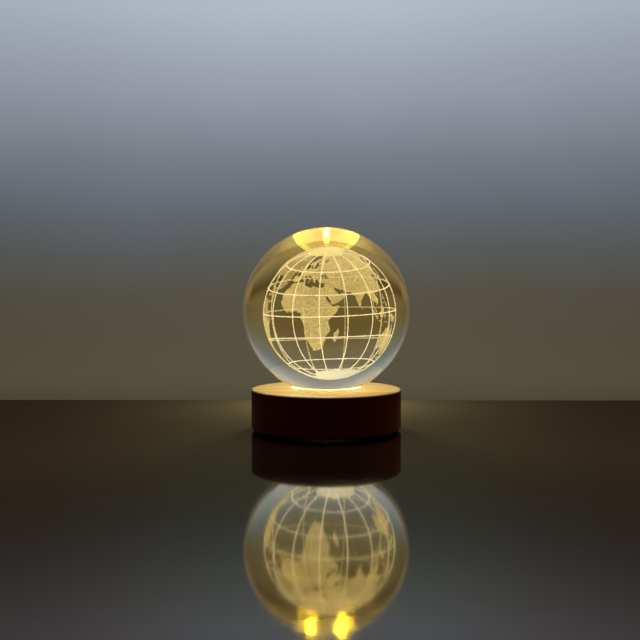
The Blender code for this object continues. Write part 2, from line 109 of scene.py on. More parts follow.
class Look:
    """A procedural material: a Principled shader and the nodes that feed it."""

    def __init__(self, name, roughness=0.5, **sockets):
        self.mat = bpy.data.materials.new(name)
        self.mat.use_nodes = True
        self.tree = self.mat.node_tree
        self.bsdf = self.tree.nodes["Principled BSDF"]
        self.bsdf.inputs["Roughness"].default_value = roughness
        for key, value in sockets.items():
            self.bsdf.inputs[key.replace("_", " ")].default_value = value
        self.coords = self.node("ShaderNodeTexCoord").outputs["Object"]

    def node(self, kind, **props):
        n = self.tree.nodes.new(kind)
        for key, value in props.items():
            setattr(n, key, value)
        return n

    def feed(self, value, socket):
        if isinstance(value, bpy.types.NodeSocket):
            self.tree.links.new(value, socket)
        else:
            socket.default_value = value
        return socket

    def scaled(self, x, y=None, z=None, coords=None):
        m = self.node("ShaderNodeMapping")
        m.inputs["Scale"].default_value = (x, x if y is None else y, x if z is None else z)
        self.tree.links.new(coords or self.coords, m.inputs["Vector"])
        return m.outputs["Vector"]

    def noise(self, coords, scale=1.0, detail=3.0, rough=0.5, distortion=0.0, colour=False):
        n = self.node("ShaderNodeTexNoise")
        self.tree.links.new(coords, n.inputs["Vector"])
        n.inputs["Scale"].default_value = scale
        n.inputs["Detail"].default_value = detail
        n.inputs["Roughness"].default_value = rough
        n.inputs["Distortion"].default_value = distortion
        return n.outputs["Color" if colour else "Fac"]

    def cells(self, coords, scale=1.0, feature="F1", out="Distance", randomness=1.0):
        n = self.node("ShaderNodeTexVoronoi", feature=feature)
        self.tree.links.new(coords, n.inputs["Vector"])
        n.inputs["Scale"].default_value = scale
        n.inputs["Randomness"].default_value = randomness
        return n.outputs[out]

    def math(self, op, a, b=0.0, c=0.0, clamp=False):
        n = self.node("ShaderNodeMath", operation=op, use_clamp=clamp)
        self.feed(a, n.inputs[0])
        self.feed(b, n.inputs[1])
        self.feed(c, n.inputs[2])
        return n.outputs[0]

    def band(self, value, low, high, to_low=0.0, to_high=1.0, smooth=True):
        n = self.node("ShaderNodeMapRange", interpolation_type="SMOOTHSTEP" if smooth else "LINEAR", clamp=True)
        self.feed(value, n.inputs["Value"])
        for key, v in (("From Min", low), ("From Max", high), ("To Min", to_low), ("To Max", to_high)):
            n.inputs[key].default_value = v
        return n.outputs["Result"]

    def ramp(self, value, *stops, mode="LINEAR"):
        n = self.node("ShaderNodeValToRGB")
        n.color_ramp.interpolation = mode
        self.feed(value, n.inputs["Fac"])
        while len(n.color_ramp.elements) < len(stops):
            n.color_ramp.elements.new(0.5)
        for e, (at, colour) in zip(n.color_ramp.elements, stops):
            e.position, e.color = at, colour
        return n.outputs["Color"]

    def mix(self, factor, a, b, blend="MIX"):
        n = self.node("ShaderNodeMix", data_type="RGBA", blend_type=blend)
        self.feed(factor, n.inputs["Factor"])
        self.feed(a, n.inputs[6])
        self.feed(b, n.inputs[7])
        return n.outputs[2]

    def xyz(self, coords=None):
        n = self.node("ShaderNodeSeparateXYZ")
        self.tree.links.new(coords or self.coords, n.inputs[0])
        return n.outputs

    def colour(self, value, socket="Base Color"):
        self.feed(value, self.bsdf.inputs[socket])
        return self

    def roughness(self, value):
        self.feed(value, self.bsdf.inputs["Roughness"])
        return self

    def bump(self, height, depth, strength=1.0, normal=None):
        n = self.node("ShaderNodeBump")
        n.inputs["Strength"].default_value = strength
        n.inputs["Distance"].default_value = depth
        self.feed(height, n.inputs["Height"])
        if normal is not None:
            self.feed(normal, n.inputs["Normal"])
        self.tree.links.new(n.outputs["Normal"], self.bsdf.inputs["Normal"])
        return n.outputs["Normal"]


def make_glass():
    look = Look("optical_glass", roughness=0.0, Transmission_Weight=1.0, IOR=1.517)
    film = look.noise(look.scaled(60), detail=2.0)
    look.colour(look.ramp(film, (0.3, (0.975, 0.93, 0.67, 1)), (0.7, (0.985, 0.945, 0.72, 1))))
    # painted glow: emission in the glass that stands in for light scattered in it, stronger towards the top
    x, y, z = look.xyz()
    height = look.band(z, (BALL_Z - 34) * MM, (BALL_Z + 36) * MM, smooth=False)
    haze = look.ramp(height, (0.0, (0.0, 0.0, 0.0, 1)), (0.4, (0.024, 0.016, 0.003, 1)), (1.0, (0.050, 0.033, 0.005, 1)))
    # painted reflection: emission that stands in for the room reflected on the glass, strongest where it is seen edge
    # on
    painted_sheen = look.node("ShaderNodeLayerWeight")
    painted_sheen.inputs["Blend"].default_value = 0.5
    painted_rim_sheen = look.band(painted_sheen.outputs["Facing"], 0.64, 0.90)
    look.colour(look.mix(painted_rim_sheen, haze, (0.085, 0.074, 0.052, 1), blend="ADD"), "Emission Color")
    look.bsdf.inputs["Emission Strength"].default_value = 1.0
    look.mat.cycles.emission_sampling = "NONE"
    return look.mat


def make_silicone():
    look = Look(
        "clear_silicone_glow", roughness=0.3, Subsurface_Weight=0.5, Subsurface_Scale=0.0004, IOR=1.41, Coat_Weight=0.3
    )
    look.bsdf.inputs["Subsurface Radius"].default_value = (1.0, 0.8, 0.5)
    haze = look.noise(look.scaled(900), detail=4.0)
    look.colour(look.ramp(haze, (0.3, linear(222, 214, 190)), (0.7, linear(246, 240, 222))))
    # painted glow: emission that stands in for the LEDs' light on its inner side and its lip, and little of that comes
    # out through the outer side
    x, y, z = look.xyz()
    radius = look.math("SQRT", look.math("ADD", look.math("MULTIPLY", x, x), look.math("MULTIPLY", y, y)))
    outer = look.band(radius, 16.55 * MM, 16.85 * MM)
    glow = look.ramp(haze, (0.3, (0.95, 0.74, 0.10, 1)), (0.7, (1.0, 0.82, 0.13, 1)))
    look.colour(look.mix(outer, glow, (0.046, 0.038, 0.015, 1)), "Emission Color")
    look.bsdf.inputs["Emission Strength"].default_value = 10.0
    look.bump(look.noise(look.scaled(2600), detail=2.0), 0.00002)
    return look.mat


def make_wood():
    """One solid texture: the grain runs along X, so the front shows long grain and the sides end grain. The outside is
    stained dark and the hollow inside is bare. The top face is painted light and golden under a clear varnish: painted
    light that stands in for the lamp's glow falling on it."""
    look = Look("turned_wood", roughness=0.5, Specular_IOR_Level=0.28)
    x, y, z = look.xyz()
    warp = look.noise(look.scaled(9, 42, 42), detail=3.0, distortion=0.4)
    ry = look.math("ADD", y, 0.031)
    rz = look.math("ADD", z, 0.058)
    rings = look.math("SQRT", look.math("ADD", look.math("MULTIPLY", ry, ry), look.math("MULTIPLY", rz, rz)))
    rings = look.math("ADD", look.math("MULTIPLY", rings, 420.0), look.math("MULTIPLY", warp, 3.2))
    rings = look.math("ADD", look.math("MULTIPLY", look.math("SINE", look.math("MULTIPLY", rings, 6.2832)), 0.5), 0.5)
    rings = look.math("POWER", rings, 1.6)
    fibre = look.noise(look.scaled(60, 2200, 2200), detail=4.0, rough=0.62)
    streak = look.noise(look.scaled(16, 420, 420), detail=3.0)
    pores = look.band(look.cells(look.scaled(190, 3600, 3600)), 0.16, 0.05)
    cloud = look.noise(look.scaled(38), detail=3.0)
    grain = look.math("ADD", look.math("MULTIPLY", rings, 0.34), look.math("MULTIPLY", fibre, 0.42))
    grain = look.math("ADD", grain, look.math("MULTIPLY", streak, 0.24))
    stained = look.ramp(
        grain, (0.26, linear(70, 8, 8)), (0.48, linear(84, 11, 10)), (0.72, linear(97, 16, 13)), (0.9, linear(108, 23, 18))
    )
    stained = look.mix(look.band(cloud, 0.35, 0.7, 0.0, 0.35), stained, linear(76, 9, 9))
    stained = look.mix(look.math("MULTIPLY", pores, 0.55), stained, linear(18, 4, 4))
    # painted light: the top face's light golden colour stands in for the lamp's glow on it
    light = look.ramp(
        grain, (0.26, linear(196, 146, 84)), (0.5, linear(224, 184, 122)), (0.74, linear(238, 206, 150)), (0.92, linear(244, 216, 166))
    )
    light = look.mix(look.band(cloud, 0.42, 0.75, 0.0, 0.45), light, linear(226, 162, 78))
    light = look.mix(look.math("MULTIPLY", pores, 0.3), light, linear(140, 86, 38))
    bare = look.ramp(grain, (0.3, linear(150, 112, 74)), (0.8, linear(196, 158, 112)))
    # the painted light of the top face begins just under the top edge, with a slightly uneven line
    edge = look.math("ADD", z, look.math("MULTIPLY", look.math("SUBTRACT", streak, 0.5), 0.00025))
    top = look.band(edge, (BASE_TOP - 0.62) * MM, (BASE_TOP - 0.40) * MM)
    radius = look.math("SQRT", look.math("ADD", look.math("MULTIPLY", x, x), look.math("MULTIPLY", y, y)))
    inside = look.math("MULTIPLY", look.band(radius, 33.2 * MM, 32.95 * MM), look.band(z, 19.4 * MM, 19.2 * MM))
    colour = look.mix(top, stained, light)
    look.colour(look.mix(inside, colour, bare))
    satin = look.band(fibre, 0.3, 0.7, 0.32, 0.46)
    satin = look.math("ADD", satin, look.math("MULTIPLY", top, 0.06))
    look.roughness(look.math("ADD", satin, look.math("MULTIPLY", inside, 0.3)))
    relief = look.math("SUBTRACT", look.math("MULTIPLY", fibre, 0.35), look.math("MULTIPLY", pores, 0.9))
    look.bump(relief, 0.00004, 0.7)
    return look.mat


def painted_warm_light(look, colour, least):
    """Painted warm light: a warm orange tint on the white round the front LED, on both sides of its beam, that stands
    in for the LED's light falling on it.
    """
    x, y, z = look.xyz()
    side = look.math("ABSOLUTE", x)
    wisps = look.noise(look.scaled(420, 420, 160), detail=4.0, rough=0.6, distortion=0.5)
    warm_light_mask = look.math("MULTIPLY", look.band(side, 1.5 * MM, 2.6 * MM), look.band(side, 4.6 * MM, 9.4 * MM, 1.0, 0.0))
    radius = look.math("SQRT", look.math("ADD", look.math("MULTIPLY", x, x), look.math("MULTIPLY", y, y)))
    warm_light_mask = look.math("MULTIPLY", warm_light_mask, look.band(radius, least * MM, (least + 1.6) * MM))
    warm_light_mask = look.math("MULTIPLY", warm_light_mask, look.band(y, -9.0 * MM, -6.0 * MM, 1.0, 0.0))
    warm_light_mask = look.math("MULTIPLY", warm_light_mask, look.band(wisps, 0.38, 0.6, 0.15, 1.0))
    return look.mix(warm_light_mask, colour, linear(216, 136, 24))


def make_plastic(name, low, high, roughness=0.45, grain=2600.0, depth=0.000025, speck=None, with_painted_warm_light=False, **sockets):
    look = Look(name, roughness=roughness, **sockets)
    cloud = look.noise(look.scaled(120), detail=3.0)
    fine = look.noise(look.scaled(grain), detail=3.0, rough=0.6)
    colour = look.ramp(cloud, (0.3, low), (0.7, high))
    if speck:
        colour = look.mix(look.band(look.cells(look.scaled(grain * 0.4)), 0.12, 0.05, 0.0, 0.6), colour, speck)
    # painted warm light from the front LED, on the white round it, when asked for
    if with_painted_warm_light:
        colour = painted_warm_light(look, colour, 11.0)
    look.colour(colour)
    look.roughness(look.band(fine, 0.3, 0.7, roughness - 0.08, roughness + 0.1))
    look.bump(fine, depth)
    return look.mat


def make_metal(name, low, high, roughness=0.28, brushed=(300, 300, 4000)):
    look = Look(name, roughness=roughness, Metallic=1.0)
    lines = look.noise(look.scaled(*brushed), detail=3.0)
    stain = look.noise(look.scaled(420), detail=3.0)
    look.colour(look.ramp(stain, (0.3, low), (0.7, high)))
    look.roughness(look.band(lines, 0.25, 0.75, roughness - 0.08, roughness + 0.12))
    look.bump(lines, 0.000008)
    return look.mat


def make_board(name, low, high, copper, with_painted_warm_light=False):
    """Solder mask over copper: the mask stands slightly higher and darker over the copper islands."""
    look = Look(name, roughness=0.3, Coat_Weight=0.4, Coat_Roughness=0.1)
    island = look.band(look.cells(look.scaled(260), feature="DISTANCE_TO_EDGE"), 0.03, 0.06)
    weave = look.noise(look.scaled(1900), detail=2.0)
    base = look.ramp(weave, (0.3, low), (0.7, high))
    colour = look.mix(look.math("MULTIPLY", island, 0.5), base, copper)
    # painted warm light from the front LED, on the white round it, when asked for
    look.colour(painted_warm_light(look, colour, 11.0) if with_painted_warm_light else colour)
    look.roughness(look.band(weave, 0.3, 0.7, 0.24, 0.38))
    look.bump(look.math("ADD", island, look.math("MULTIPLY", weave, 0.15)), 0.00003)
    return look.mat


def make_emitter(name, low, high, strength, scale=900.0):
    look = Look(name, roughness=0.4)
    grain = look.noise(look.scaled(scale), detail=2.0)
    colour = look.ramp(grain, (0.3, low), (0.7, high))
    look.colour(colour)
    # the front LED is dimmer than the two behind it
    front = look.band(look.xyz()[1], -7.0 * MM, -5.0 * MM, 0.93, 0.0)
    look.colour(look.mix(front, colour, (0, 0, 0, 1)), "Emission Color")
    look.bsdf.inputs["Emission Strength"].default_value = strength
    return look.mat


def make_package():
    """The LEDs' pale bodies, which the light fills from inside: brightest along the middle of each."""
    look = Look("led_body", roughness=0.35)
    x, y, z = look.xyz()
    near = None
    for azimuth in LED_AZIMUTHS:
        a = math.radians(azimuth)
        line = look.math("SUBTRACT", look.math("MULTIPLY", x, math.sin(a)), look.math("MULTIPLY", y, math.cos(a)))
        far = look.math("ABSOLUTE", line)
        near = far if near is None else look.math("MINIMUM", near, far)
    grain = look.noise(look.scaled(2400), detail=2.0)
    look.colour(look.ramp(grain, (0.3, linear(232, 226, 206)), (0.7, linear(244, 240, 226))))
    glow = look.ramp(grain, (0.3, (1.0, 0.84, 0.54, 1)), (0.7, (1.0, 0.90, 0.64, 1)))
    beam = look.band(near, 0.3 * MM, 2.1 * MM, 1.0, 0.04)
    beam = look.math("MULTIPLY", beam, look.band(z, (BOARD_TOP + 1.2) * MM, (BOARD_TOP + 1.55) * MM, 1.0, 0.7))
    look.colour(look.mix(beam, (0, 0, 0, 1), glow), "Emission Color")
    look.bsdf.inputs["Emission Strength"].default_value = 20.0
    look.mat.cycles.emission_sampling = "NONE"
    return look.mat


def make_engraving(name, low, mid, high, strength, inner=0.3, cloudy=0.35):
    """Fine marks in the glass, with a painted glow that stands in for the LEDs' light they scatter: strong where they
    face out of the globe, and less on their inner side.
    """
    look = Look(name, roughness=0.7)
    geometry = look.node("ShaderNodeNewGeometry")
    out = look.node("ShaderNodeVectorMath", operation="SUBTRACT")
    look.tree.links.new(look.coords, out.inputs[0])
    out.inputs[1].default_value = [c * MM for c in GLOBE_AT]
    unit = look.node("ShaderNodeVectorMath", operation="NORMALIZE")
    look.tree.links.new(out.outputs[0], unit.inputs[0])
    facing = look.node("ShaderNodeVectorMath", operation="DOT_PRODUCT")
    look.tree.links.new(unit.outputs[0], facing.inputs[0])
    look.tree.links.new(geometry.outputs["True Normal"], facing.inputs[1])
    x, y, z = look.xyz()
    # painted glow by height: its colour and strength run from high at the bottom, near the LEDs, through mid to low,
    # and back to mid at the top
    height = look.band(z, (BALL_Z - 22) * MM, (BALL_Z + 20) * MM, smooth=False)
    tint = look.ramp(height, (0.0, high), (0.14, mid), (0.75, low), (1.0, mid))
    grain = look.noise(look.scaled(1500), detail=2.0)
    cloud = look.noise(look.scaled(130), detail=4.0, rough=0.6)
    # painted glow: strong on faces turned out of the globe, weak on those turned in
    light = look.band(facing.outputs["Value"], -0.35, 0.35, inner, 1.0)
    light = look.math("MULTIPLY", light, look.band(grain, 0.25, 0.75, 0.8, 1.15, smooth=False))
    light = look.math("MULTIPLY", light, look.band(cloud, 0.25, 0.75, 1.0 - cloudy, 1.0 + cloudy * 0.4, smooth=False))
    dark = look.mix(light, (0, 0, 0, 1), tint)
    base = look.ramp(grain, (0.3, linear(190, 170, 120)), (0.7, linear(235, 220, 180)))
    look.colour(base)
    look.colour(dark, "Emission Color")
    look.bsdf.inputs["Emission Strength"].default_value = strength
    look.mat.cycles.emission_sampling = "NONE"
    return look.mat


GLASS = make_glass()
SILICONE = make_silicone()
WOOD = make_wood()
WHITE_PLASTIC = make_plastic(
    "moulded_white", linear(236, 226, 196), linear(246, 238, 214), 0.4, 1800, 0.00002, with_painted_warm_light=True, Subsurface_Weight=0.0
)
BLACK_PLASTIC = make_plastic("moulded_black", linear(20, 19, 20), linear(34, 33, 33), 0.5, 3200, 0.00004)
BUTTON_PLASTIC = make_plastic("button_black", linear(16, 15, 16), linear(28, 27, 27), 0.34, 4200, 0.000015)
RUBBER = make_plastic("foot_rubber", linear(26, 26, 27), linear(42, 41, 41), 0.82, 2200, 0.00006, speck=linear(70, 68, 66))
WHITE_BOARD = make_board("white_mask", linear(226, 222, 208), linear(240, 237, 226), linear(214, 206, 184), with_painted_warm_light=True)
GREEN_BOARD = make_board("green_mask", linear(14, 62, 36), linear(22, 84, 50), linear(36, 104, 58))
STEEL = make_metal("plated_steel", linear(176, 176, 174), linear(206, 206, 204))
SHELL_STEEL = make_metal("stamped_shell", linear(184, 184, 186), linear(214, 214, 214), 0.22, (4000, 300, 4000))
SOLDER = make_metal("solder", linear(168, 170, 172), linear(204, 204, 204), 0.2, (900, 900, 900))
GOLD = make_metal("gold_contact", linear(206, 158, 70), linear(232, 190, 104), 0.24, (300, 4000, 300))
LED_BODY = make_package()
PHOSPHOR = make_emitter("led_phosphor", (1.0, 0.58, 0.006, 1), (1.0, 0.66, 0.010, 1), 520.0)
CERAMIC = make_plastic("resistor_top", linear(22, 22, 26), linear(36, 36, 40), 0.4, 3600, 0.00001)
RED_WIRE = make_plastic("red_sleeve", linear(160, 20, 18), linear(190, 34, 28), 0.4, 1500, 0.00001)
BLACK_WIRE = make_plastic("black_sleeve", linear(20, 20, 21), linear(32, 32, 33), 0.4, 1500, 0.00001)
LAND_MARKS = make_engraving(
    "engraved_land", (0.78, 0.59, 0.215, 1), (0.86, 0.68, 0.29, 1), (1.0, 0.90, 0.58, 1), 0.92, inner=0.22, cloudy=0.3
)
LINE_MARKS = make_engraving(
    "engraved_line", (0.94, 0.77, 0.42, 1), (0.96, 0.86, 0.58, 1), (1.0, 0.95, 0.80, 1), 1.34, inner=0.16, cloudy=0.14
)
ICE_MARKS = make_engraving(
    "engraved_ice", (1.0, 0.84, 0.22, 1), (1.0, 0.86, 0.34, 1), (0.77, 0.82, 0.74, 1), 0.85, inner=0.6, cloudy=0.2
)


# ---------------------------------------------------------------- shapes


def obj_from(name, mesh, mat=None):
    obj = bpy.data.objects.new(name, mesh)
    scene.collection.objects.link(obj)
    if mat:
        mesh.materials.clear()
        mesh.materials.append(mat)
    return obj


def shade(mesh, degrees=35):
    mesh.shade_smooth()
    mesh.set_sharp_from_angle(angle=math.radians(degrees))


def flat_faces(obj):
    """Keeps flat faces flat beside rounded edges: their normals weigh the most."""
    mod = obj.modifiers.new("flat", "WEIGHTED_NORMAL")
    mod.keep_sharp = True
    mod.weight = 100
    bpy.context.view_layer.update()
    mesh = bpy.data.meshes.new_from_object(obj.evaluated_get(bpy.context.evaluated_depsgraph_get()))
    obj.modifiers.clear()
    old, name = obj.data, obj.data.name
    obj.data = mesh
    if old.users == 0:
        bpy.data.meshes.remove(old)
    mesh.name = name


def applied(obj, degrees=35):
    bpy.context.view_layer.update()
    graph = bpy.context.evaluated_depsgraph_get()
    mesh = bpy.data.meshes.new_from_object(obj.evaluated_get(graph))
    obj.modifiers.clear()
    old = obj.data
    obj.data = mesh
    if old.users == 0:
        bpy.data.meshes.remove(old)
    shade(mesh, degrees)
    return obj


def turned(name, profile, mat=None, segments=160, degrees=35):
    """A shape turned about Z from points (radius, height) in mm, which run down the outer side."""
    closed = profile[0][0] > 1e-6
    rows = len(profile)
    turn = np.linspace(0, 2 * math.pi, segments, endpoint=False)
    cos, sin = np.cos(turn), np.sin(turn)
    bm = bmesh.new()
    rings = []
    for r, z in profile:
        if r < 1e-6:
            rings.append([bm.verts.new((0, 0, z * MM))])
        else:
            rings.append([bm.verts.new((r * c * MM, r * s * MM, z * MM)) for c, s in zip(cos, sin)])
    pairs = list(zip(range(rows - 1), range(1, rows)))
    if closed:
        pairs.append((rows - 1, 0))
    for i, j in pairs:
        a, b = rings[i], rings[j]
        for k in range(segments):
            n = (k + 1) % segments
            corners = [a[k % len(a)], b[k % len(b)], b[n % len(b)], a[n % len(a)]]
            corners = list(dict.fromkeys(corners))
            if len(corners) > 2:
                bm.faces.new(corners)
    bmesh.ops.recalc_face_normals(bm, faces=bm.faces)
    mesh = bpy.data.meshes.new(name)
    bm.to_mesh(mesh)
    bm.free()
    shade(mesh, degrees)
    return obj_from(name, mesh, mat)


def fillet(centre, radius, start, end, steps=6):
    angles = [math.radians(start + (end - start) * i / steps) for i in range(steps + 1)]
    return [(centre[0] + radius * math.cos(a), centre[1] + radius * math.sin(a)) for a in angles]


def block(name, size, centre=(0, 0, 0), mat=None, bevel=0.0, along=None, steps=3, degrees=35):
    """A box with its size and centre in mm, its edges rounded: all of them, or only those along one axis."""
    bm = bmesh.new()
    bmesh.ops.create_cube(bm, size=1.0)
    bmesh.ops.scale(bm, vec=Vector(size) * MM, verts=bm.verts)
    if bevel:
        edges = list(bm.edges)
        if along is not None:
            edges = [e for e in edges if abs((e.verts[0].co - e.verts[1].co).normalized()[along]) > 0.9]
        bmesh.ops.bevel(bm, geom=edges, offset=bevel * MM, segments=steps, profile=0.5, affect="EDGES")
    bmesh.ops.translate(bm, vec=Vector(centre) * MM, verts=bm.verts)
    mesh = bpy.data.meshes.new(name)
    bm.to_mesh(mesh)
    bm.free()
    shade(mesh, degrees)
    return obj_from(name, mesh, mat)


def bar(name, radius, low, high, mat=None, segments=48, top_radius=None, at=(0, 0)):
    top = radius if top_radius is None else top_radius
    obj = turned(name, [(0, high), (top, high), (radius, low), (0, low)], mat, segments)
    obj.data.transform(Matrix.Translation((at[0] * MM, at[1] * MM, 0)))
    return obj


def move(obj, matrix):
    obj.data.transform(matrix)
    return obj


def polar(azimuth, radius, z=0.0):
    """The matrix that sets a piece at a radius from the axis, its +Y facing outwards."""
    a = math.radians(azimuth)
    return Matrix.Translation((radius * MM * math.cos(a), radius * MM * math.sin(a), z * MM)) @ Matrix.Rotation(
        a - math.pi / 2, 4, "Z"
    )


def button_frame(turn=True):
    """The button's axis: local +Y outwards, or local +Z outwards with turn."""
    m = Matrix.Translation((0, 0, SIDE_Z * MM)) @ Matrix.Rotation(math.radians(BUTTON_AZIMUTH - 90), 4, "Z")
    return m @ Matrix.Rotation(-math.pi / 2, 4, "X") if turn else m


def boolean(obj, tools, operation="DIFFERENCE", degrees=35):
    for tool in tools:
        mod = obj.modifiers.new("cut", "BOOLEAN")
        mod.operation = operation
        mod.solver = "EXACT"
        mod.object = tool
    applied(obj, degrees)
    for tool in tools:
        mesh = tool.data
        bpy.data.objects.remove(tool, do_unlink=True)
        if mesh.users == 0:
            bpy.data.meshes.remove(mesh)
    return obj


def joined(name, parts):
    """Several meshes as one piece, each keeping its material."""
    bm = bmesh.new()
    mats = []
    for part in parts:
        start = len(bm.faces)
        bm.from_mesh(part.data)
        bm.faces.ensure_lookup_table()
        for m in part.data.materials:
            if m not in mats:
                mats.append(m)
        for f in bm.faces[start:]:
            f.material_index = mats.index(part.data.materials[f.material_index])
    mesh = bpy.data.meshes.new(name)
    bm.to_mesh(mesh)
    bm.free()
    for m in mats:
        mesh.materials.append(m)
    for part in parts:
        bpy.data.objects.remove(part, do_unlink=True)
    obj = bpy.data.objects.new(name, mesh)
    scene.collection.objects.link(obj)
    return obj


PIECES = []


def piece(obj, body, slot, *stands_for):
    if obj.name != "ball_glass" and not obj.name.startswith("engraved_"):
        PIECES.append(obj)
    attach(obj, body)
    if stands_for:
        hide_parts(*stands_for)
    return obj


def under_ball(radius):
    return BALL_Z - math.sqrt((BALL_R + GAP) ** 2 - radius**2)


# ---------------------------------------------------------------- camera and stage

camera = bpy.data.objects.new("camera", bpy.data.cameras.new("camera"))
scene.collection.objects.link(camera)
scene.camera = camera
camera.data.sensor_width = 36.0
camera.data.lens = 45.5
camera.data.clip_start = 0.01
camera.location = (0.0, -0.390, 0.0641)
camera.rotation_euler = (math.radians(90 - 1.63), 0, math.radians(0.44))

look = Look("stage_floor", Metallic=0.55, Specular_IOR_Level=0.1, Coat_Weight=1.0, Coat_Roughness=0.045, Coat_IOR=2.2)
mottle = look.noise(look.scaled(9), detail=4.0)
fine = look.noise(look.scaled(300), detail=2.0)
look.colour(look.ramp(mottle, (0.35, linear(196, 190, 174)), (0.65, linear(206, 200, 184))))
look.roughness(look.band(fine, 0.3, 0.7, 0.06, 0.09))
FLOOR = look.mat



def wall_look(name):
    look = Look(name, roughness=0.95)
    x, y, z = look.xyz()
    mottle = look.noise(look.scaled(3), detail=3.0)
    height = look.math("ADD", z, look.math("MULTIPLY", look.math("SUBTRACT", mottle, 0.5), 0.045))
    return look, look.math("ABSOLUTE", x), height


look, away, height = wall_look("stage_wall")
# painted light: the backdrop is painted dim and warm low down and brighter and bluer higher up, and darker to the
# sides, as the room's light falls on it
behind = look.ramp(
    look.band(height, -0.15, 0.65, smooth=False),
    (0.049, (0.0880, 0.0780, 0.0460, 1)),
    (0.187, (0.0830, 0.0730, 0.0460, 1)),
    (0.279, (0.0830, 0.0750, 0.0550, 1)),
    (0.360, (0.0900, 0.0945, 0.0930, 1)),
    (0.429, (0.1060, 0.1200, 0.1350, 1)),
    (0.544, (0.1680, 0.1870, 0.2200, 1)),
    (0.659, (0.2600, 0.2830, 0.3350, 1)),
    (0.844, (0.3900, 0.4350, 0.5100, 1)),
    (1.0, (0.3700, 0.4150, 0.4850, 1)),
)
look.colour(look.mix(look.band(away, 0.0, 0.77, 1.0, 0.80), (0, 0, 0, 1), behind))
WALL = look.mat

look, away, height = wall_look("stage_gathered")
# painted light and shade: this backdrop, seen only through the glass, is painted with how the room's light falls on it;
# its colour and brightness change with height, brightest and bluest high up
middle = look.ramp(
    look.band(height, -0.15, 0.75, smooth=False),
    (0.05, (0.070, 0.058, 0.030, 1)),
    (0.22, (0.072, 0.056, 0.022, 1)),
    (0.33, (0.076, 0.054, 0.020, 1)),
    (0.40, (0.090, 0.066, 0.034, 1)),
    (0.47, (0.112, 0.088, 0.058, 1)),
    (0.56, (0.126, 0.106, 0.078, 1)),
    (0.67, (0.132, 0.118, 0.096, 1)),
    (0.76, (0.142, 0.138, 0.120, 1)),
    (0.84, (0.138, 0.148, 0.150, 1)),
    (1.0, (0.150, 0.180, 0.250, 1)),
)
around = look.ramp(
    look.band(height, -0.65, 1.85, smooth=False),
    (0.02, (0.190, 0.146, 0.070, 1)),
    (0.115, (0.195, 0.150, 0.076, 1)),
    (0.16, (0.185, 0.140, 0.070, 1)),
    (0.22, (0.110, 0.080, 0.042, 1)),
    (0.28, (0.092, 0.074, 0.042, 1)),
    (0.336, (0.094, 0.088, 0.060, 1)),
    (0.392, (0.098, 0.108, 0.085, 1)),
    (0.44, (0.118, 0.132, 0.125, 1)),
    (0.488, (0.126, 0.153, 0.182, 1)),
    (0.524, (0.145, 0.184, 0.260, 1)),
    (0.60, (0.220, 0.278, 0.370, 1)),
    (0.696, (0.300, 0.360, 0.480, 1)),
    (0.836, (0.380, 0.425, 0.560, 1)),
)
# painted shade: the backdrop is darker above the middle
overhead_painted_shade = look.math("MULTIPLY", look.band(away, 0.65, 0.0), look.band(height, 0.6, 0.9))
around = look.mix(look.math("MULTIPLY", overhead_painted_shade, 0.28), around, (0, 0, 0, 1))
# painted light: the middle of the backdrop takes the middle ramp's light and shade
central = look.math("MULTIPLY", look.band(away, 0.44, 0.60, 1.0, 0.0), look.band(height, 0.60, 0.74, 1.0, 0.0))
central = look.math("MULTIPLY", central, look.band(height, -0.18, -0.11))
look.colour(look.mix(central, around, middle))
GATHERED = look.mat

floor = block("floor", (2400, 1114, 24), (0, -443, -12), FLOOR, bevel=3.0, steps=4, degrees=1)
wall = block("backdrop", (4800, 20, 3400), (0, 910, 500), WALL, bevel=2.0, degrees=1)
gathered = block("backdrop_gathered", (4800, 10, 3400), (0, 890, 500), GATHERED, bevel=2.0, degrees=1)
# One backdrop is seen directly, and the other only through the glass. Both are left out of reflections and bounced light.
wall.visible_glossy = wall.visible_diffuse = wall.visible_transmission = False
gathered.visible_camera = gathered.visible_glossy = gathered.visible_diffuse = gathered.visible_shadow = False


# ---------------------------------------------------------------- ball and engraving

bm = bmesh.new()
bmesh.ops.create_uvsphere(bm, u_segments=256, v_segments=128, radius=BALL_R * MM)
bmesh.ops.translate(bm, vec=(0, 0, BALL_Z * MM), verts=bm.verts)
mesh = bpy.data.meshes.new("ball_glass")
bm.to_mesh(mesh)
bm.free()
mesh.shade_smooth()
ball = piece(obj_from("ball_glass", mesh, GLASS), "ball", "crystal", "crystal_ball")

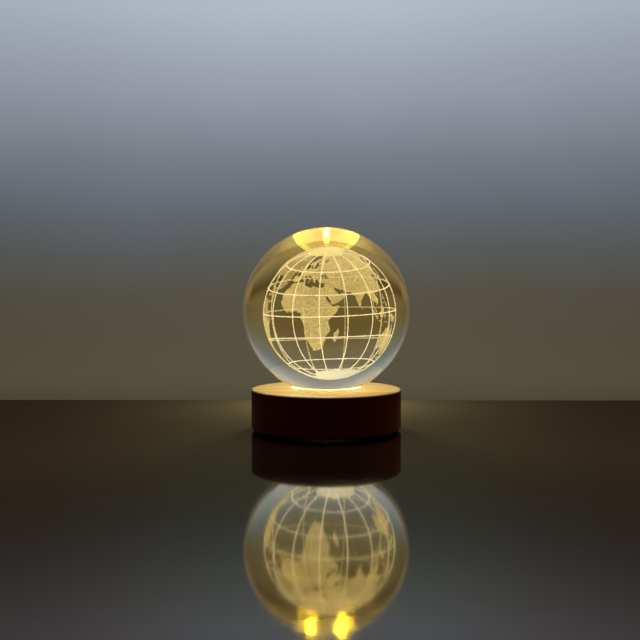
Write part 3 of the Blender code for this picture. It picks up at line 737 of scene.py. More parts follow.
# Coastlines: longitude, latitude in degrees.
COASTS = """
-5.9 35.8 -2 35.1 3 36.8 8 36.9 10.2 37.3 11 36.8 10.1 34.3 11.5 33.2 15 32.3 17.5 30.9 20 31 20 32.3 21.8 32.9 25 31.6 29 30.9 31.5 31.5
 32.5 31.2 32.6 29.9 34 27.3 35.5 24 37.2 21 37.3 18.8 39.2 15.8 41.2 14.6 43.2 12.5 43.2 11.5 44.8 10.5 48 11.2 51.2 11.9 51 10.4 49.5 6.8
 47.8 4.2 45 2 42 -1 40 -2.8 39 -5 39.5 -7.5 40.5 -10.7 40.6 -14.5 38 -17.2 35.3 -19.5 35.4 -23.8 32.8 -25.8 32.5 -28.3 30.5 -31
 27.5 -33.2 25.6 -34 22 -34.2 20 -34.8 18.4 -34.2 18.2 -31.8 16.5 -28.7 15 -26 14.5 -22.8 12.5 -18.5 11.8 -16.5 13.5 -12.5 13.2 -9
 12.2 -6 11 -3.8 9.2 -1.3 9.5 1 9.7 3.6 8.5 4.6 6 4.3 4.5 6.3 1.2 6 -2 4.8 -4.5 5.2 -7.6 4.4 -9.5 5.8 -12 7.8 -13.4 9.3 -15 10.9
 -16.8 12.6 -17.4 14.7 -16.4 16.2 -16.3 19.2 -17 21 -15.9 23.8 -14.5 26.2 -12.9 27.9 -10 29.4 -9.6 31 -8.5 33.2 -6.8 34.2
/
32.4 31.2 34.2 31.3 35.1 33 35.9 35.5 36.1 36.8 34 36.4 32 36.1 30.5 36.7 28.2 36.7 27.2 38.2 26.3 39.6 26.8 40.6 26 40.8 23.9 40
 22.8 39.8 24 38 23 36.6 21.5 37 20 39.5 19.4 41.5 16.5 43.4 13.9 45.2 12.4 45.2 12.5 43.9 14.2 42.3 16 41.7 18.4 40.1 17 40.4 16.6 38.8
 15.8 38 16 39.4 14.2 40.8 11.8 42.3 10.2 43.8 8.8 44.4 6.5 43.1 3.2 43.2 3.1 41.8 0.3 40 0 38.6 -2 36.8 -5.4 36.1 -6.4 37 -8.9 37
 -9.4 38.8 -8.8 41.2 -9 43.2 -4 43.5 -1.6 43.4 -1.2 45.8 -2.6 47.4 -4.7 48.2 -1.6 48.7 -1.5 49.7 1.6 50.4 4 51.6 5 53.2 8.3 53.8
 8.2 57 10.5 57.7 10.3 56 11 54.2 14 54.2 18.6 54.7 21 55.3 21.5 57.5 24.3 57.3 23.5 59.1 28 59.6 29.8 60 25 60.1 22.5 60.2 21.4 61.8
 22.5 63.8 25.3 65 22.1 65.7 21 64.3 17.6 62.3 17.3 60.6 18.8 59.8 16.6 58.2 16.2 56.5 14.3 55.4 12.8 55.5 11.2 58.9 10.5 59.4 8 58
 5.6 58.8 5 61.5 8.5 63.5 12.2 65.6 14.5 68 19 69.8 25.5 71 31 70.3 33 69.4 41 67.2 38 66.3 33 66.7 34.8 64.4 37.5 64 40.5 64.7
 39.8 65.7 43.9 66.2 44.2 68.4 48 67.6 54 68.5 60 69 66.8 69 67 71.5 69 72.9 72.6 72.8 72.5 69 74 68.5 74.3 71 80 72.4 87 74.8
 98 76.2 104 77.7 112 76.4 113.5 73.8 127 73.2 130 71 140 72.5 152 71 160 69.7 170 69.8 178 69.2 184 67.8 190 66.1 187 64.5 180 65
 177.5 64.7 179.5 62.5 172 60.7 164 59.9 162.5 57 162 55 156.8 51 155.8 56 161.5 60 163.5 62.4 157 61.7 152 59.2 143 59.2 136 54.7
 141 53 140.4 48.5 136 44.5 132 43.2 130.6 42.3 127.6 39.7 129.4 37 129.2 35.2 126.5 34.4 126.7 37.2 125 39.5 121.3 38.9 121.5 40.8
 118 39.1 119 37.2 122.4 37.2 119.3 35 121.8 32 121.9 29.5 119.5 25.8 116.5 23 113.5 22 110 21.2 108 21.6 105.8 19.2 108.8 15.5
 109.2 11.8 105.2 8.7 104.8 10.4 102.2 12.2 100.9 13.4 100 13 99.3 9.3 100.6 7.2 103.4 4 104.2 1.4 103.4 1.4 101.3 3 100.3 6 98.3 8.2
 98.6 12 97.6 16.3 95.3 15.9 94.3 18.5 91.8 22.4 88.5 21.7 86.8 20.5 82.3 16.6 80.2 15.2 80.2 12.9 79.3 10.3 77.5 8.1 76.3 9.8
 74.7 13.5 73 17.5 72.7 21 70.3 20.9 69 22.3 67 24.8 61.6 25.1 57.3 25.6 56.6 27.1 54 26.6 51.5 27.9 50.2 30 48.6 30 47.9 29.4
 50.1 26.6 51.5 24.3 54.3 24.2 56.1 26 56.5 24.5 58.7 23.6 59.8 22.5 57.7 19.6 55.2 17.6 52 15.6 48.5 14 45 12.8 43.3 12.7 42.7 15.8
 41 18.6 39 21.5 37.2 24.6 35.2 28 34.9 29.5 34.2 27.8 32.7 29.8
/
-5.6 50.1 -3 50.7 1.4 51.2 1.7 52.7 0 53.5 -1.6 55.2 -2 57.5 -3.2 58.6 -5 58.5 -5.6 56.5 -3.2 54.9 -3 53.8 -4.6 53.2 -4.2 52.2 -5.2 51.8 -3 51.3
/ -10 51.6 -6.3 52.2 -6 54.5 -7.5 55.3 -10 54.2 -9.2 53.2
/ -24 65.5 -22.5 64 -18.7 63.4 -14 64.8 -15 66.3 -20 66 -22.5 66.4
/ 12.5 38 15.5 38.2 15.2 36.7 / 8.3 41 9.7 41 9.5 39.1 8.5 39 / 8.6 42.5 9.4 43 9.5 41.9 8.8 41.6 / 23.6 35.6 26.2 35.4 25 34.9
/ 32.4 35.1 34.5 35.6 33.6 34.7 / 11 79 20 80 27 80 21 78 15 76.8 / 51.5 71.5 55 73.5 60 76 68 77 62 75 57 72 54 70.7
/ 49.3 -12 50.4 -15.5 49.5 -18 47.1 -25 45.2 -25.5 43.5 -22.5 44.4 -19.8 44.5 -16.2 47 -15.3
/ 80 9.7 81.7 7.5 80.6 6 79.8 7.5
/ 95.3 5.6 98 4.2 100.5 2.2 103.5 -1 106 -3 105.8 -5.8 102.3 -4 100 -0.8 98 2
/ 105.3 -6.8 108.5 -6.7 110.8 -6.4 114.4 -7.7 114.4 -8.6 109 -7.7 / 116 -8.4 119.5 -8.4 123 -8.5 122.8 -8.9 118.5 -8.9
/ 123.5 -10.3 127 -8.4 125 -8.7
/ 109.1 1.5 111 1.6 113 3.2 116.8 7 119 5 117.8 3 118.8 1 117.5 0 116 -3.8 114.5 -4 110.2 -2.8 109 -0.3
/ 119.3 -5.4 120.4 -5.5 120.6 -2.7 122.5 -4.5 121.6 -1.9 123.3 -0.9 120.4 -0.9 120.3 0.5 124.8 1.5 121 1.2 119.8 0.4 118.9 -2.8
/ 127.5 2 128.6 0.6 127.6 -0.8 / 126.5 -3 130.5 -3 129.8 -3.5 126.6 -3.6
/ 131 -0.8 134 -0.9 135 -3.3 138 -1.7 141 -2.6 145.5 -4.8 147.8 -6.2 147.5 -7.5 150.8 -10.5 147 -9.6 144 -7.7 142.5 -9.3 138 -8.3
 138 -5.5 133.5 -4 132 -2.7
/ 148.5 -5.6 151.5 -4.3 152 -4.6 150.5 -6.2 149 -6.2
/ 120.3 16 120.7 18.5 122.2 18.4 121.6 16 124 12.8 121 13.7 / 122 7 124.2 8.6 125.5 9.7 126.5 7.2 125.4 5.7 123.5 7.5
/ 122 10.5 123 11.5 123.9 10.5 123.2 9.2 / 117.2 8.4 119.4 11.3 119.7 10.4 / 120.1 23 121.5 25.3 122 24.8 120.8 22
/ 108.7 19.2 110.3 20 111 19.6 109.6 18.3
/ 129.8 33 131 33.8 132 33 131 31.3 130.2 31.4
/ 131 34.3 133 35.5 136 35.8 137 37.2 139.5 38.3 140 40.5 141.3 41.4 142 39.5 140.9 36.8 140.7 35.5 138.5 34.7 135.8 33.5 135 34.6 132.4 34.2
/ 132.5 33.3 134 34.3 134.6 33.8 133 32.8 / 140 41.5 141.6 43.3 141.7 45.4 145.3 43.9 143.3 42 / 142 46 143 49 144.5 49 143 53.5 142.2 54.3 141.8 51
/ 114 -22 113.7 -26.5 115.7 -31.8 115 -34.3 118 -35 123.5 -33.9 129 -31.7 131.2 -31.5 134.2 -33 135.7 -34.9 137.8 -32.6 137.9 -35.3
 140 -37.6 143.5 -38.8 146.4 -39.1 150 -37.4 151.3 -33.5 153.5 -28.5 152.8 -25 149 -20.6 146.2 -18.8 145.3 -15 143.5 -14.3 142.5 -10.8
 141.6 -13.5 140.9 -17.5 139.3 -17.4 135.7 -15 136.8 -12.2 132.6 -11.4 130.8 -12.4 129.6 -14.9 126.8 -13.9 124.3 -16.3 122.2 -18
 118.5 -20.4 116 -20.8
/ 144.7 -40.8 148.2 -40.9 147.8 -43.2 146 -43.5
/ 172.8 -34.5 175.5 -36.8 178.4 -37.7 177 -39.6 175.2 -41.6 173.9 -39.3 174.8 -37.5 / 172.7 -40.6 174.2 -41.7 171 -44.3 168.8 -46.6 166.5 -45.8 170 -43
/ 164 -20.2 167 -22.2 166.4 -22.3 / 177.3 -17.6 178.6 -17.7 178 -18.2
/ 68.7 -48.8 70.3 -49.2 69 -49.6
/
-168 65.7 -162 66.5 -166.5 68.4 -161 70.3 -156.5 71.3 -143 70.1 -135 69.4 -128 70.3 -122 69.8 -115 68.4 -108 68 -101 67.8 -95.5 68
 -94.5 71.5 -91 69.5 -85 69.5 -81.5 68.5 -86 66.3 -93 62 -94.6 60 -94.5 58.7 -92.5 57 -88 56.5 -82.3 55.2 -82 53 -79.5 51.2 -79 54
 -76.6 56.5 -78.5 58.8 -77.5 62.5 -73.5 62.3 -69.6 60.9 -66 58.8 -64.5 60.3 -61.5 56.5 -57 52.5 -60 50.2 -66.5 50.2 -70 47.5 -65 49.2
 -64.5 46.5 -61 45.6 -66 43.6 -67 44.8 -70.5 43.3 -70 41.8 -74 40.6 -75.7 37.5 -76 35 -81 31.8 -80.1 26.5 -81 25.2 -82.8 28 -84 30
 -89.5 30.2 -90.3 29.2 -94.5 29.4 -97.3 27.5 -97.7 22.5 -95.8 18.8 -94 18.2 -91.5 18.6 -90.4 21 -87 21.4 -88 18.2 -88.5 15.8 -83.3 15
 -83.7 11 -81.5 9 -79.5 9.5 -77.3 8.6 -77.8 7.5 -80 7.4 -83 8.3 -85.8 10.5 -88 13.2 -92.3 14.6 -94.8 16.2 -99.5 16.6 -105 19.5
 -105.5 22 -109.2 25.8 -112.5 30 -114.7 31.5 -112.8 28 -109.6 23.2 -112 25 -114.8 28 -116.8 32 -120.6 34.6 -124 39.8 -124.5 43
 -123.5 48.3 -128 51 -133 55.5 -139.5 59.7 -146 60.8 -151.5 59.5 -158 56.3 -164.5 54.7 -158 58.5 -162 59.3 -165.8 61.5 -161 64 -166.3 64.6
/ -80 73.5 -72 71.3 -62 66.3 -66 62.8 -73 64.8 -73.5 68 -85 70 -90 72 / -117 70 -115 73 -105 72.5 -102 69.5 -113 69
/ -125 72 -122 74.3 -117 73 -121 71.2 / -90 77 -85 81 -65 83 -62 82.3 -76 78.5 -80 76.3 / -96 76 -81 75.5 -80 74.7 -92 74.8
/ -86 66 -80 64 -85 63.2 / -59 47.8 -56.5 51.5 -53 47 -55.5 46.9 / -84.5 22 -81 23.1 -74.5 20.2 -77.5 20 -80 21.7
/ -74 18.4 -73 19.8 -69 19.2 -68.5 18.3 -71.5 17.9 / -78.2 18.4 -76.4 18.1 -77.6 17.8 / -156 20.2 -155 19.6 -155.7 19
/ -73 78.3 -60 82 -35 83.5 -18 81.5 -19 77 -22 72.5 -26 70 -33 68 -40 65 -43.5 60 -48.5 61.2 -53.5 66 -51.5 69.5 -55 72.5 -60 76 -68 76.1
/
-77.3 8.6 -75.5 10.7 -71.8 12.2 -71 11.2 -68 10.8 -62 10.6 -60 8.3 -57 6 -52 4.8 -50 0.5 -48 -0.8 -44.3 -2.7 -39.5 -3 -35.3 -5.3
 -35 -8.5 -38 -12.8 -39 -17.5 -40.8 -22 -44.5 -23.2 -48.5 -26 -48.7 -28.5 -52.2 -32.5 -54.5 -34.8 -58.3 -34 -56.8 -36.5 -58.5 -38.5
 -62.2 -39 -65 -41 -64.5 -42.8 -67.3 -45.5 -66 -48 -69 -51 -68.5 -52.5 -65.3 -54.7 -69 -55.5 -73.5 -53 -75.5 -50 -74.5 -46.5 -73 -42
 -73.5 -37.2 -71.5 -33 -70.3 -27 -70.3 -18.5 -76 -14 -79 -8 -81.2 -5.8 -80 -3.2 -80.8 -1 -79 1.5 -77.2 4 -77.5 7
/ -61 -51.3 -58 -51.4 -59 -52.3
"""
# Water that the engraving leaves open: the Black Sea with the Sea of Azov, and the two gulfs east of Arabia, drawn large.
INLAND = """28.2 41.4 31.5 41.4 35 42.1 38 41.1 41.3 41.7 39 44 37.3 45 38.4 46.9 35.2 46.3 35.2 45 33.5 44.5 32.8 46 30.6 46.2 28.8 44.6 27.8 42.6
/ 47.2 30.6 51.5 29.4 54.5 27.9 57.2 28 57.6 25.8 55.4 24.8 53.8 23.2 51.2 23.6 49.4 26.2 46.8 29.2
/ 57.2 26.2 62 26 61 22.6 58.5 23 56.2 24.6
"""
# Water that it fills: the seas north of Russia and the upper half of the Red Sea.
FILLED = """24 70 18 77 40 80.5 70 81 105 80 150 78 152 70 113 71.5 72 71.5 67 67.5 45 67.5 40 69
/ 32 30.6 35.4 30.2 39.6 21.2 36.4 21.6 33.6 27.2"""
# The edge of Antarctica: longitude, latitude.
ANTARCTIC = """-180 -78 -160 -77.5 -150 -76.5 -135 -74.5 -115 -74 -100 -72.5 -80 -73 -70 -71 -67 -67.5 -58 -63.3 -61 -66 -60.5 -74
 -40 -78 -28 -76 -15 -72 0 -70.5 15 -69.8 33 -69 40 -69.5 52 -66 60 -67.5 70 -68.6 80 -67.3 95 -66.5 110 -66 125 -66.5 140 -66.8 155 -69
 165 -71.5 167 -77 180 -78"""


def pairs_of(text):
    numbers = np.array(text.split(), float)
    return numbers.reshape(-1, 2)


def inside(polygon, lon, lat):
    """Which points lie in a polygon, by crossings."""
    hit = np.zeros(len(lon), bool)
    x0, y0 = polygon[-1]
    for x1, y1 in polygon:
        if y0 != y1:
            crosses = (y0 > lat) != (y1 > lat)
            hit ^= crosses & (lon < (x1 - x0) * (lat - y0) / (y1 - y0) + x0)
        x0, y0 = x1, y1
    return hit


def drawn_map(lon, lat):
    """The engraved map is drawn freely: pulled west from 60 degrees east on and in South America, longer to the south."""
    lon = np.where(lon < -150, lon + 360, lon)
    pulled = np.where(lon > 60, 60 + (lon - 60) / 0.83, lon)
    back = np.clip((lon - 140) / 70, 0, 1)
    lon = pulled + (lon - pulled) * back
    lon = lon + np.where(lat < 13, 6, 0) * np.clip((lon + 125) / 20, 0, 1) * np.clip((-25 - lon) / 12, 0, 1)
    lat = np.where(lat < -10, -10 + (lat + 10) / 1.11, lat)
    return (lon + 180) % 360 - 180, lat


def is_land(lon, lat):
    land = np.zeros(len(lon), bool)
    lon, lat = drawn_map(lon, lat)
    for text in COASTS.split("/"):
        polygon = pairs_of(text)
        if not len(polygon):
            continue
        for shift in (0, 360, -360):
            if polygon[:, 0].max() > 179 or shift == 0:
                land |= inside(polygon, lon + shift, lat)
    for text in FILLED.split("/"):
        land |= inside(pairs_of(text), lon, lat)
    for text in INLAND.split("/"):
        land &= ~inside(pairs_of(text), lon, lat)
    return land


def is_antarctic(lon, lat):
    edge = pairs_of(ANTARCTIC)
    return lat < np.interp(lon, edge[:, 0], edge[:, 1])


def globe_matrix():
    """Turns a point of a globe (X east, Y away from the viewer, Z north) to its place in the ball."""
    tilt, roll = math.radians(GLOBE_TILT), math.radians(GLOBE_ROLL)
    t = np.array([[1, 0, 0], [0, math.cos(tilt), -math.sin(tilt)], [0, math.sin(tilt), math.cos(tilt)]])
    r = np.array([[math.cos(roll), 0, math.sin(roll)], [0, 1, 0], [-math.sin(roll), 0, math.cos(roll)]])
    return r @ t


TURN = globe_matrix()


def on_globe(lon, lat, radius=GLOBE_R):
    lo, la = np.radians(lon - GLOBE_FACES_LON), np.radians(lat)
    p = np.stack([np.sin(lo) * np.cos(la), -np.cos(lo) * np.cos(la), np.sin(la)], -1)
    return np.array(GLOBE_AT) + np.asarray(radius)[..., None] * (p @ TURN.T) if np.ndim(radius) else np.array(
        GLOBE_AT
    ) + radius * (p @ TURN.T)


TETRA = np.array([[1, 1, 1], [1, -1, -1], [-1, 1, -1], [-1, -1, 1]], float) / math.sqrt(3)
TETRA_FACES = np.array([[0, 1, 2], [0, 3, 1], [0, 2, 3], [1, 3, 2]])


def marks(name, points, size, mat):
    """Fine closed marks at points (mm), each a small solid turned at random."""
    n = len(points)
    q = RNG.normal(size=(n, 4))
    q /= np.linalg.norm(q, axis=1, keepdims=True)
    w, x, y, z = q.T
    rot = np.stack(
        [
            np.stack([1 - 2 * (y * y + z * z), 2 * (x * y - z * w), 2 * (x * z + y * w)], -1),
            np.stack([2 * (x * y + z * w), 1 - 2 * (x * x + z * z), 2 * (y * z - x * w)], -1),
            np.stack([2 * (x * z - y * w), 2 * (y * z + x * w), 1 - 2 * (x * x + y * y)], -1),
        ],
        1,
    )
    sizes = np.broadcast_to(np.asarray(size, float), (n,)) * RNG.uniform(0.8, 1.2, n)
    verts = np.einsum("nij,kj->nki", rot, TETRA) * (sizes * 0.5)[:, None, None] + points[:, None, :]
    faces = (TETRA_FACES[None] + 4 * np.arange(n)[:, None, None]).reshape(-1, 3)
    mesh = bpy.data.meshes.new(name)
    mesh.vertices.add(4 * n)
    mesh.vertices.foreach_set("co", (verts.reshape(-1, 3) * MM).astype(np.float32).ravel())
    mesh.loops.add(3 * len(faces))
    mesh.loops.foreach_set("vertex_index", faces.astype(np.int32).ravel())
    mesh.polygons.add(len(faces))
    mesh.polygons.foreach_set("loop_start", np.arange(0, 3 * len(faces), 3, dtype=np.int32))
    mesh.polygons.foreach_set("loop_total", np.full(len(faces), 3, np.int32))
    mesh.update(calc_edges=True)
    mesh.validate()
    return piece(obj_from(name, mesh, mat), "ball", "crystal")


def lattice(per_mm2):
    """Evenly spread points on the whole globe, slightly shaken: longitude, latitude in degrees."""
    n = int(4 * math.pi * GLOBE_R**2 * per_mm2)
    i = np.arange(n) + 0.5
    lat = np.degrees(np.arcsin(1 - 2 * i / n))
    lon = np.degrees(i * math.pi * (3 - math.sqrt(5)))
    shake = 0.3 / math.sqrt(per_mm2) / GLOBE_R
    lat = lat + np.degrees(RNG.normal(0, shake, n))
    lon = lon + np.degrees(RNG.normal(0, shake, n)) / np.maximum(np.cos(np.radians(lat)), 0.05)
    lat = np.clip(lat, -89.9, 89.9)
    return (lon + 180) % 360 - 180, lat


DENSITY = 40.0
lon, lat = lattice(DENSITY)
ice = is_antarctic(lon, lat)
land = is_land(lon, lat) & ~ice
size = 0.25 * math.sqrt(40.0 / DENSITY)
for name, keep in (("engraved_land_north", land & (lat >= 22)), ("engraved_land_south", land & (lat < 22))):
    at = on_globe(lon[keep], lat[keep], GLOBE_R + RNG.normal(0, 0.06, keep.sum()))
    marks(name, at, size, LAND_MARKS)
at = on_globe(lon[ice], lat[ice], GLOBE_R + RNG.normal(0, 0.06, ice.sum()))
marks("engraved_ice_south", at, size * 1.25, ICE_MARKS)
lon, lat = lattice(DENSITY)
cap = lat > 74.5 + 1.5 * np.sin(np.radians(lon * 3))
at = on_globe(lon[cap], lat[cap], GLOBE_R + RNG.normal(0, 0.06, cap.sum()))
marks("engraved_ice_north", at, size * 1.2, ICE_MARKS)

# The graticule: rows of marks, each point four times, shaken at random.
rows = []
step = 0.125
for m in range(12):
    lat = np.arange(-84, 84, math.degrees(step / GLOBE_R))
    rows.append((np.full(len(lat), m * 30.0), lat))
for p in PARALLELS:
    lon = np.arange(-180, 180, math.degrees(step / (GLOBE_R * math.cos(math.radians(p)))))
    rows.append((lon, np.full(len(lon), p)))
lon = np.concatenate([r[0] for r in rows])
lat = np.concatenate([r[1] for r in rows])
at = on_globe(lon, lat)
at = np.concatenate([at] * 4) + RNG.normal(0, 0.075, (4 * len(at), 3))
marks("engraved_graticule", at, 0.24, LINE_MARKS)


# ---------------------------------------------------------------- seat ring

lip = [(r, under_ball(r)) for r in np.linspace(15.62, 16.78, 6)]
ring = turned(
    "ring_silicone",
    [(15.5, under_ball(15.5) - 0.08)]
    + lip
    + fillet((16.82, under_ball(16.82) - 0.18), 0.18, 80, 0, 4)
    + fillet((16.8, 19.1), 0.2, 0, -90, 4)
    + fillet((15.7, 19.1), 0.2, -90, -180, 4),
    SILICONE,
    segments=192,
)
piece(ring, "seat", "clear_silicone", "seat_ring")


# ---------------------------------------------------------------- wooden base

wood = turned(
    "base_wood",
    [(WELL_R, BASE_TOP - 0.45)]
    + fillet((WELL_R + 0.4, BASE_TOP - 0.4), 0.4, 170, 90, 5)
    + [(r, BASE_TOP) for r in (20, 24, 28, 32)]
    + fillet((BASE_R - 0.7, BASE_TOP - 0.7), 0.7, 90, 0, 8)
    + [(BASE_R, z) for z in (16, 12, 8, 4)]
    + fillet((BASE_R - 0.9, BASE_BOTTOM + 0.9), 0.9, 0, -90, 8)
    + [(REBATE_R + 0.15, BASE_BOTTOM), (REBATE_R, BASE_BOTTOM + 0.15)]
    + [(REBATE_R, REBATE_TOP), (CAVITY_R, REBATE_TOP), (CAVITY_R, CAVITY_ROOF), (WELL_R, CAVITY_ROOF)],
    WOOD,
    segments=240,
)
tools = [
    block("t1", (POCKET_W, 10.0, POCKET_H), (0, POCKET_FLOOR_Y + 5.0, SIDE_Z), bevel=POCKET_H / 2 - 0.01, along=1, steps=16),
    block("t2", (SHELL_W + 2 * GAP, 10.0, SHELL_H + 2 * GAP), (0, 29.0, SIDE_Z), bevel=1.6, along=1, steps=10),
    move(bar("t3", BUTTON_R + GAP, 25.0, 40.0, segments=64), button_frame()),
    move(bar("t4", BUTTON_FLANGE_R + GAP, 25.0, 30.6, segments=64), button_frame()),
]
for azimuth in SCREW_AZIMUTHS:
    tools.append(move(bar("t", 1.2, 2.0, 9.6, segments=24), polar(azimuth, COVER_SCREW_RADIUS)))
    tools.append(move(bar("t", 1.2, 10.0, 16.6, segments=24), polar(azimuth, CUP_SCREW_RADIUS)))
boolean(wood, tools, degrees=32)
wood.data.materials.clear()
wood.data.materials.append(WOOD)
piece(wood, "base", "stained_wood", "wooden_base")


# ---------------------------------------------------------------- lamp cup, LED board

cup = turned(
    "cup_white",
    [(2.6, CUP_FLOOR - 0.1), (2.7, CUP_FLOOR)]
    + fillet((CUP_IN_R - 0.3, CUP_FLOOR + 0.3), 0.3, 270, 360, 4)
    + fillet((CUP_IN_R + 0.2, CUP_RIM - 0.2), 0.2, 180, 90, 4)
    + fillet((CUP_OUT_R - 0.2, CUP_RIM - 0.2), 0.2, 90, 0, 4)
    + [(CUP_OUT_R, CAVITY_ROOF - GAP)]
    + fillet((CUP_FLANGE_R - 0.25, CAVITY_ROOF - GAP - 0.25), 0.25, 90, 0, 4)
    + fillet((CUP_FLANGE_R - 0.25, CUP_UNDER + 0.25), 0.25, 0, -90, 4)
    + [(2.7, CUP_UNDER), (2.6, CUP_UNDER + 0.1)],
    WHITE_PLASTIC,
    segments=144,
)
tools = [move(bar("t", 1.2, 9.0, 12.0, segments=32), polar(a, CUP_SCREW_RADIUS)) for a in SCREW_AZIMUTHS]
tools += [move(bar("t", 1.1, 10.5, 14.0, segments=32), polar(a, BOARD_SCREW_RADIUS)) for a in BOARD_SCREW_AZIMUTHS]
boolean(cup, tools)
piece(cup, "base", "white_plastic", "lamp_cup")

board = turned(
    "led_disc",
    [(0, BOARD_TOP), (8.0, BOARD_TOP)]
    + fillet((BOARD_R - 0.12, BOARD_TOP - 0.12), 0.12, 90, 0, 2)
    + fillet((BOARD_R - 0.12, BOARD_UNDER + 0.12), 0.12, 0, -90, 2)
    + [(0, BOARD_UNDER)],
    WHITE_BOARD,
    segments=128,
)
boolean(board, [move(bar("t", 1.1, 12.0, 16.0, segments=32), polar(a, BOARD_SCREW_RADIUS)) for a in BOARD_SCREW_AZIMUTHS])
piece(board, "base", "white_board", "led_board")


def ribbon(name, points, width, z, height, mat):
    """A raised flat track through points (x, y) in mm."""
    bm = bmesh.new()
    pts = [Vector((p[0], p[1], 0)) for p in points]
    left, right = [], []
    for i, p in enumerate(pts):
        d = (pts[min(i + 1, len(pts) - 1)] - pts[max(i - 1, 0)]).normalized()
        side = Vector((-d.y, d.x, 0)) * width / 2
        left.append(p + side)
        right.append(p - side)
    lo = [[bm.verts.new(((q.x) * MM, (q.y) * MM, z * MM)) for q in row] for row in (left, right)]
    hi = [[bm.verts.new(((q.x) * MM, (q.y) * MM, (z + height) * MM)) for q in row] for row in (left, right)]
    for i in range(len(pts) - 1):
        bm.faces.new((hi[0][i], hi[1][i], hi[1][i + 1], hi[0][i + 1]))
        bm.faces.new((lo[0][i], lo[0][i + 1], lo[1][i + 1], lo[1][i]))
        bm.faces.new((lo[0][i], hi[0][i], hi[0][i + 1], lo[0][i + 1]))
        bm.faces.new((lo[1][i], lo[1][i + 1], hi[1][i + 1], hi[1][i]))
    bm.faces.new((lo[0][0], lo[1][0], hi[1][0], hi[0][0]))
    bm.faces.new((lo[0][-1], hi[0][-1], hi[1][-1], lo[1][-1]))
    bmesh.ops.recalc_face_normals(bm, faces=bm.faces)
    mesh = bpy.data.meshes.new(name)
    bm.to_mesh(mesh)
    bm.free()
    shade(mesh)
    return obj_from(name, mesh, mat)


def arc(radius, start, end, steps=24):
    a = np.radians(np.linspace(start, end, steps))
    return list(zip(radius * np.cos(a), radius * np.sin(a)))


tracks = [
    ribbon("k", arc(13.6, -80, 20), 0.9, BOARD_TOP - 0.01, 0.05, WHITE_BOARD),
    ribbon("k", arc(13.6, 40, 140), 0.9, BOARD_TOP - 0.01, 0.05, WHITE_BOARD),
    ribbon("k", arc(13.6, 160, 260), 0.9, BOARD_TOP - 0.01, 0.05, WHITE_BOARD),
    ribbon("k", [(-2.6, 3.2), (-2.6, 5.4), (-5.0, 7.6)], 0.8, BOARD_TOP - 0.01, 0.05, WHITE_BOARD),
    ribbon("k", [(2.6, 3.2), (2.6, 5.4), (5.0, 7.6)], 0.8, BOARD_TOP - 0.01, 0.05, WHITE_BOARD),
    ribbon("k", [(2.6, -3.2), (2.6, -5.4), (0.8, -7.2)], 0.8, BOARD_TOP - 0.01, 0.05, WHITE_BOARD),
]
piece(joined("led_disc_tracks", tracks), "base", "white_board")
for i, azimuth in enumerate(LED_AZIMUTHS):
    low = BOARD_TOP + GAP
    body = block(f"led_{i + 1}_body", (LED_SIDE, LED_SIDE, LED_T), (0, 0, low + LED_T / 2), LED_BODY, bevel=0.16, steps=3)
    boolean(body, [bar("t", 1.7, low + 0.55, low + LED_T + 0.1, top_radius=2.2, segments=48)])
    body.data.materials.clear()
    body.data.materials.append(LED_BODY)
    notch = [
        block("k", (0.5, 0.9, 0.5), (sx * 2.32, sy * 1.5, low + 0.28), SOLDER, bevel=0.08, steps=2)
        for sx in (-1, 1)
        for sy in (-1, 1)
    ]
    body = joined(f"led_{i + 1}_body", [body] + notch)
    m = polar(azimuth, LED_RADIUS)
    piece(move(body, m), "base", "warm_led", f"led_{i + 1}")
    glow = turned(
        f"led_{i + 1}_phosphor",
        [(0, low + 1.22), (0.7, low + 1.21), (1.4, low + 1.17), (1.92, low + 1.1), (1.92, low + 0.9), (0, low + 0.8)],
        PHOSPHOR,
        segments=48,
    )
    piece(move(glow, m), "base", "warm_led")
    pads = [block("k", (0.9, 1.2, 0.06), (s * 3.0, t * 1.5, BOARD_TOP + 0.03), SOLDER, bevel=0.02) for s in (-1, 1) for t in (-1, 1)]
    piece(move(joined(f"led_{i + 1}_pads", pads), m), "base", "white_board")

for i, x in enumerate((-2.6, 2.6)):
    z = BOARD_TOP + GAP
    parts = [
        block("k", (1.5, 2.3, 0.52), (0, 0, z + 0.29), CERAMIC, bevel=0.05),
        block("k", (1.6, 0.5, 0.6), (0, 1.35, z + 0.3), SOLDER, bevel=0.08),
        block("k", (1.6, 0.5, 0.6), (0, -1.35, z + 0.3), SOLDER, bevel=0.08),
    ]
    parts.append(block("k", (1.8, 0.9, 0.05), (0, 1.75, BOARD_TOP + 0.025), SOLDER, bevel=0.02))
    parts.append(block("k", (1.8, 0.9, 0.05), (0, -1.75, BOARD_TOP + 0.025), SOLDER, bevel=0.02))
    res = joined(f"resistor_{i + 1}_chip", parts)
    piece(move(res, Matrix.Translation((x * MM, 0, 0))), "base", "resistor_body", f"resistor_{i + 1}")


# ---------------------------------------------------------------- screws


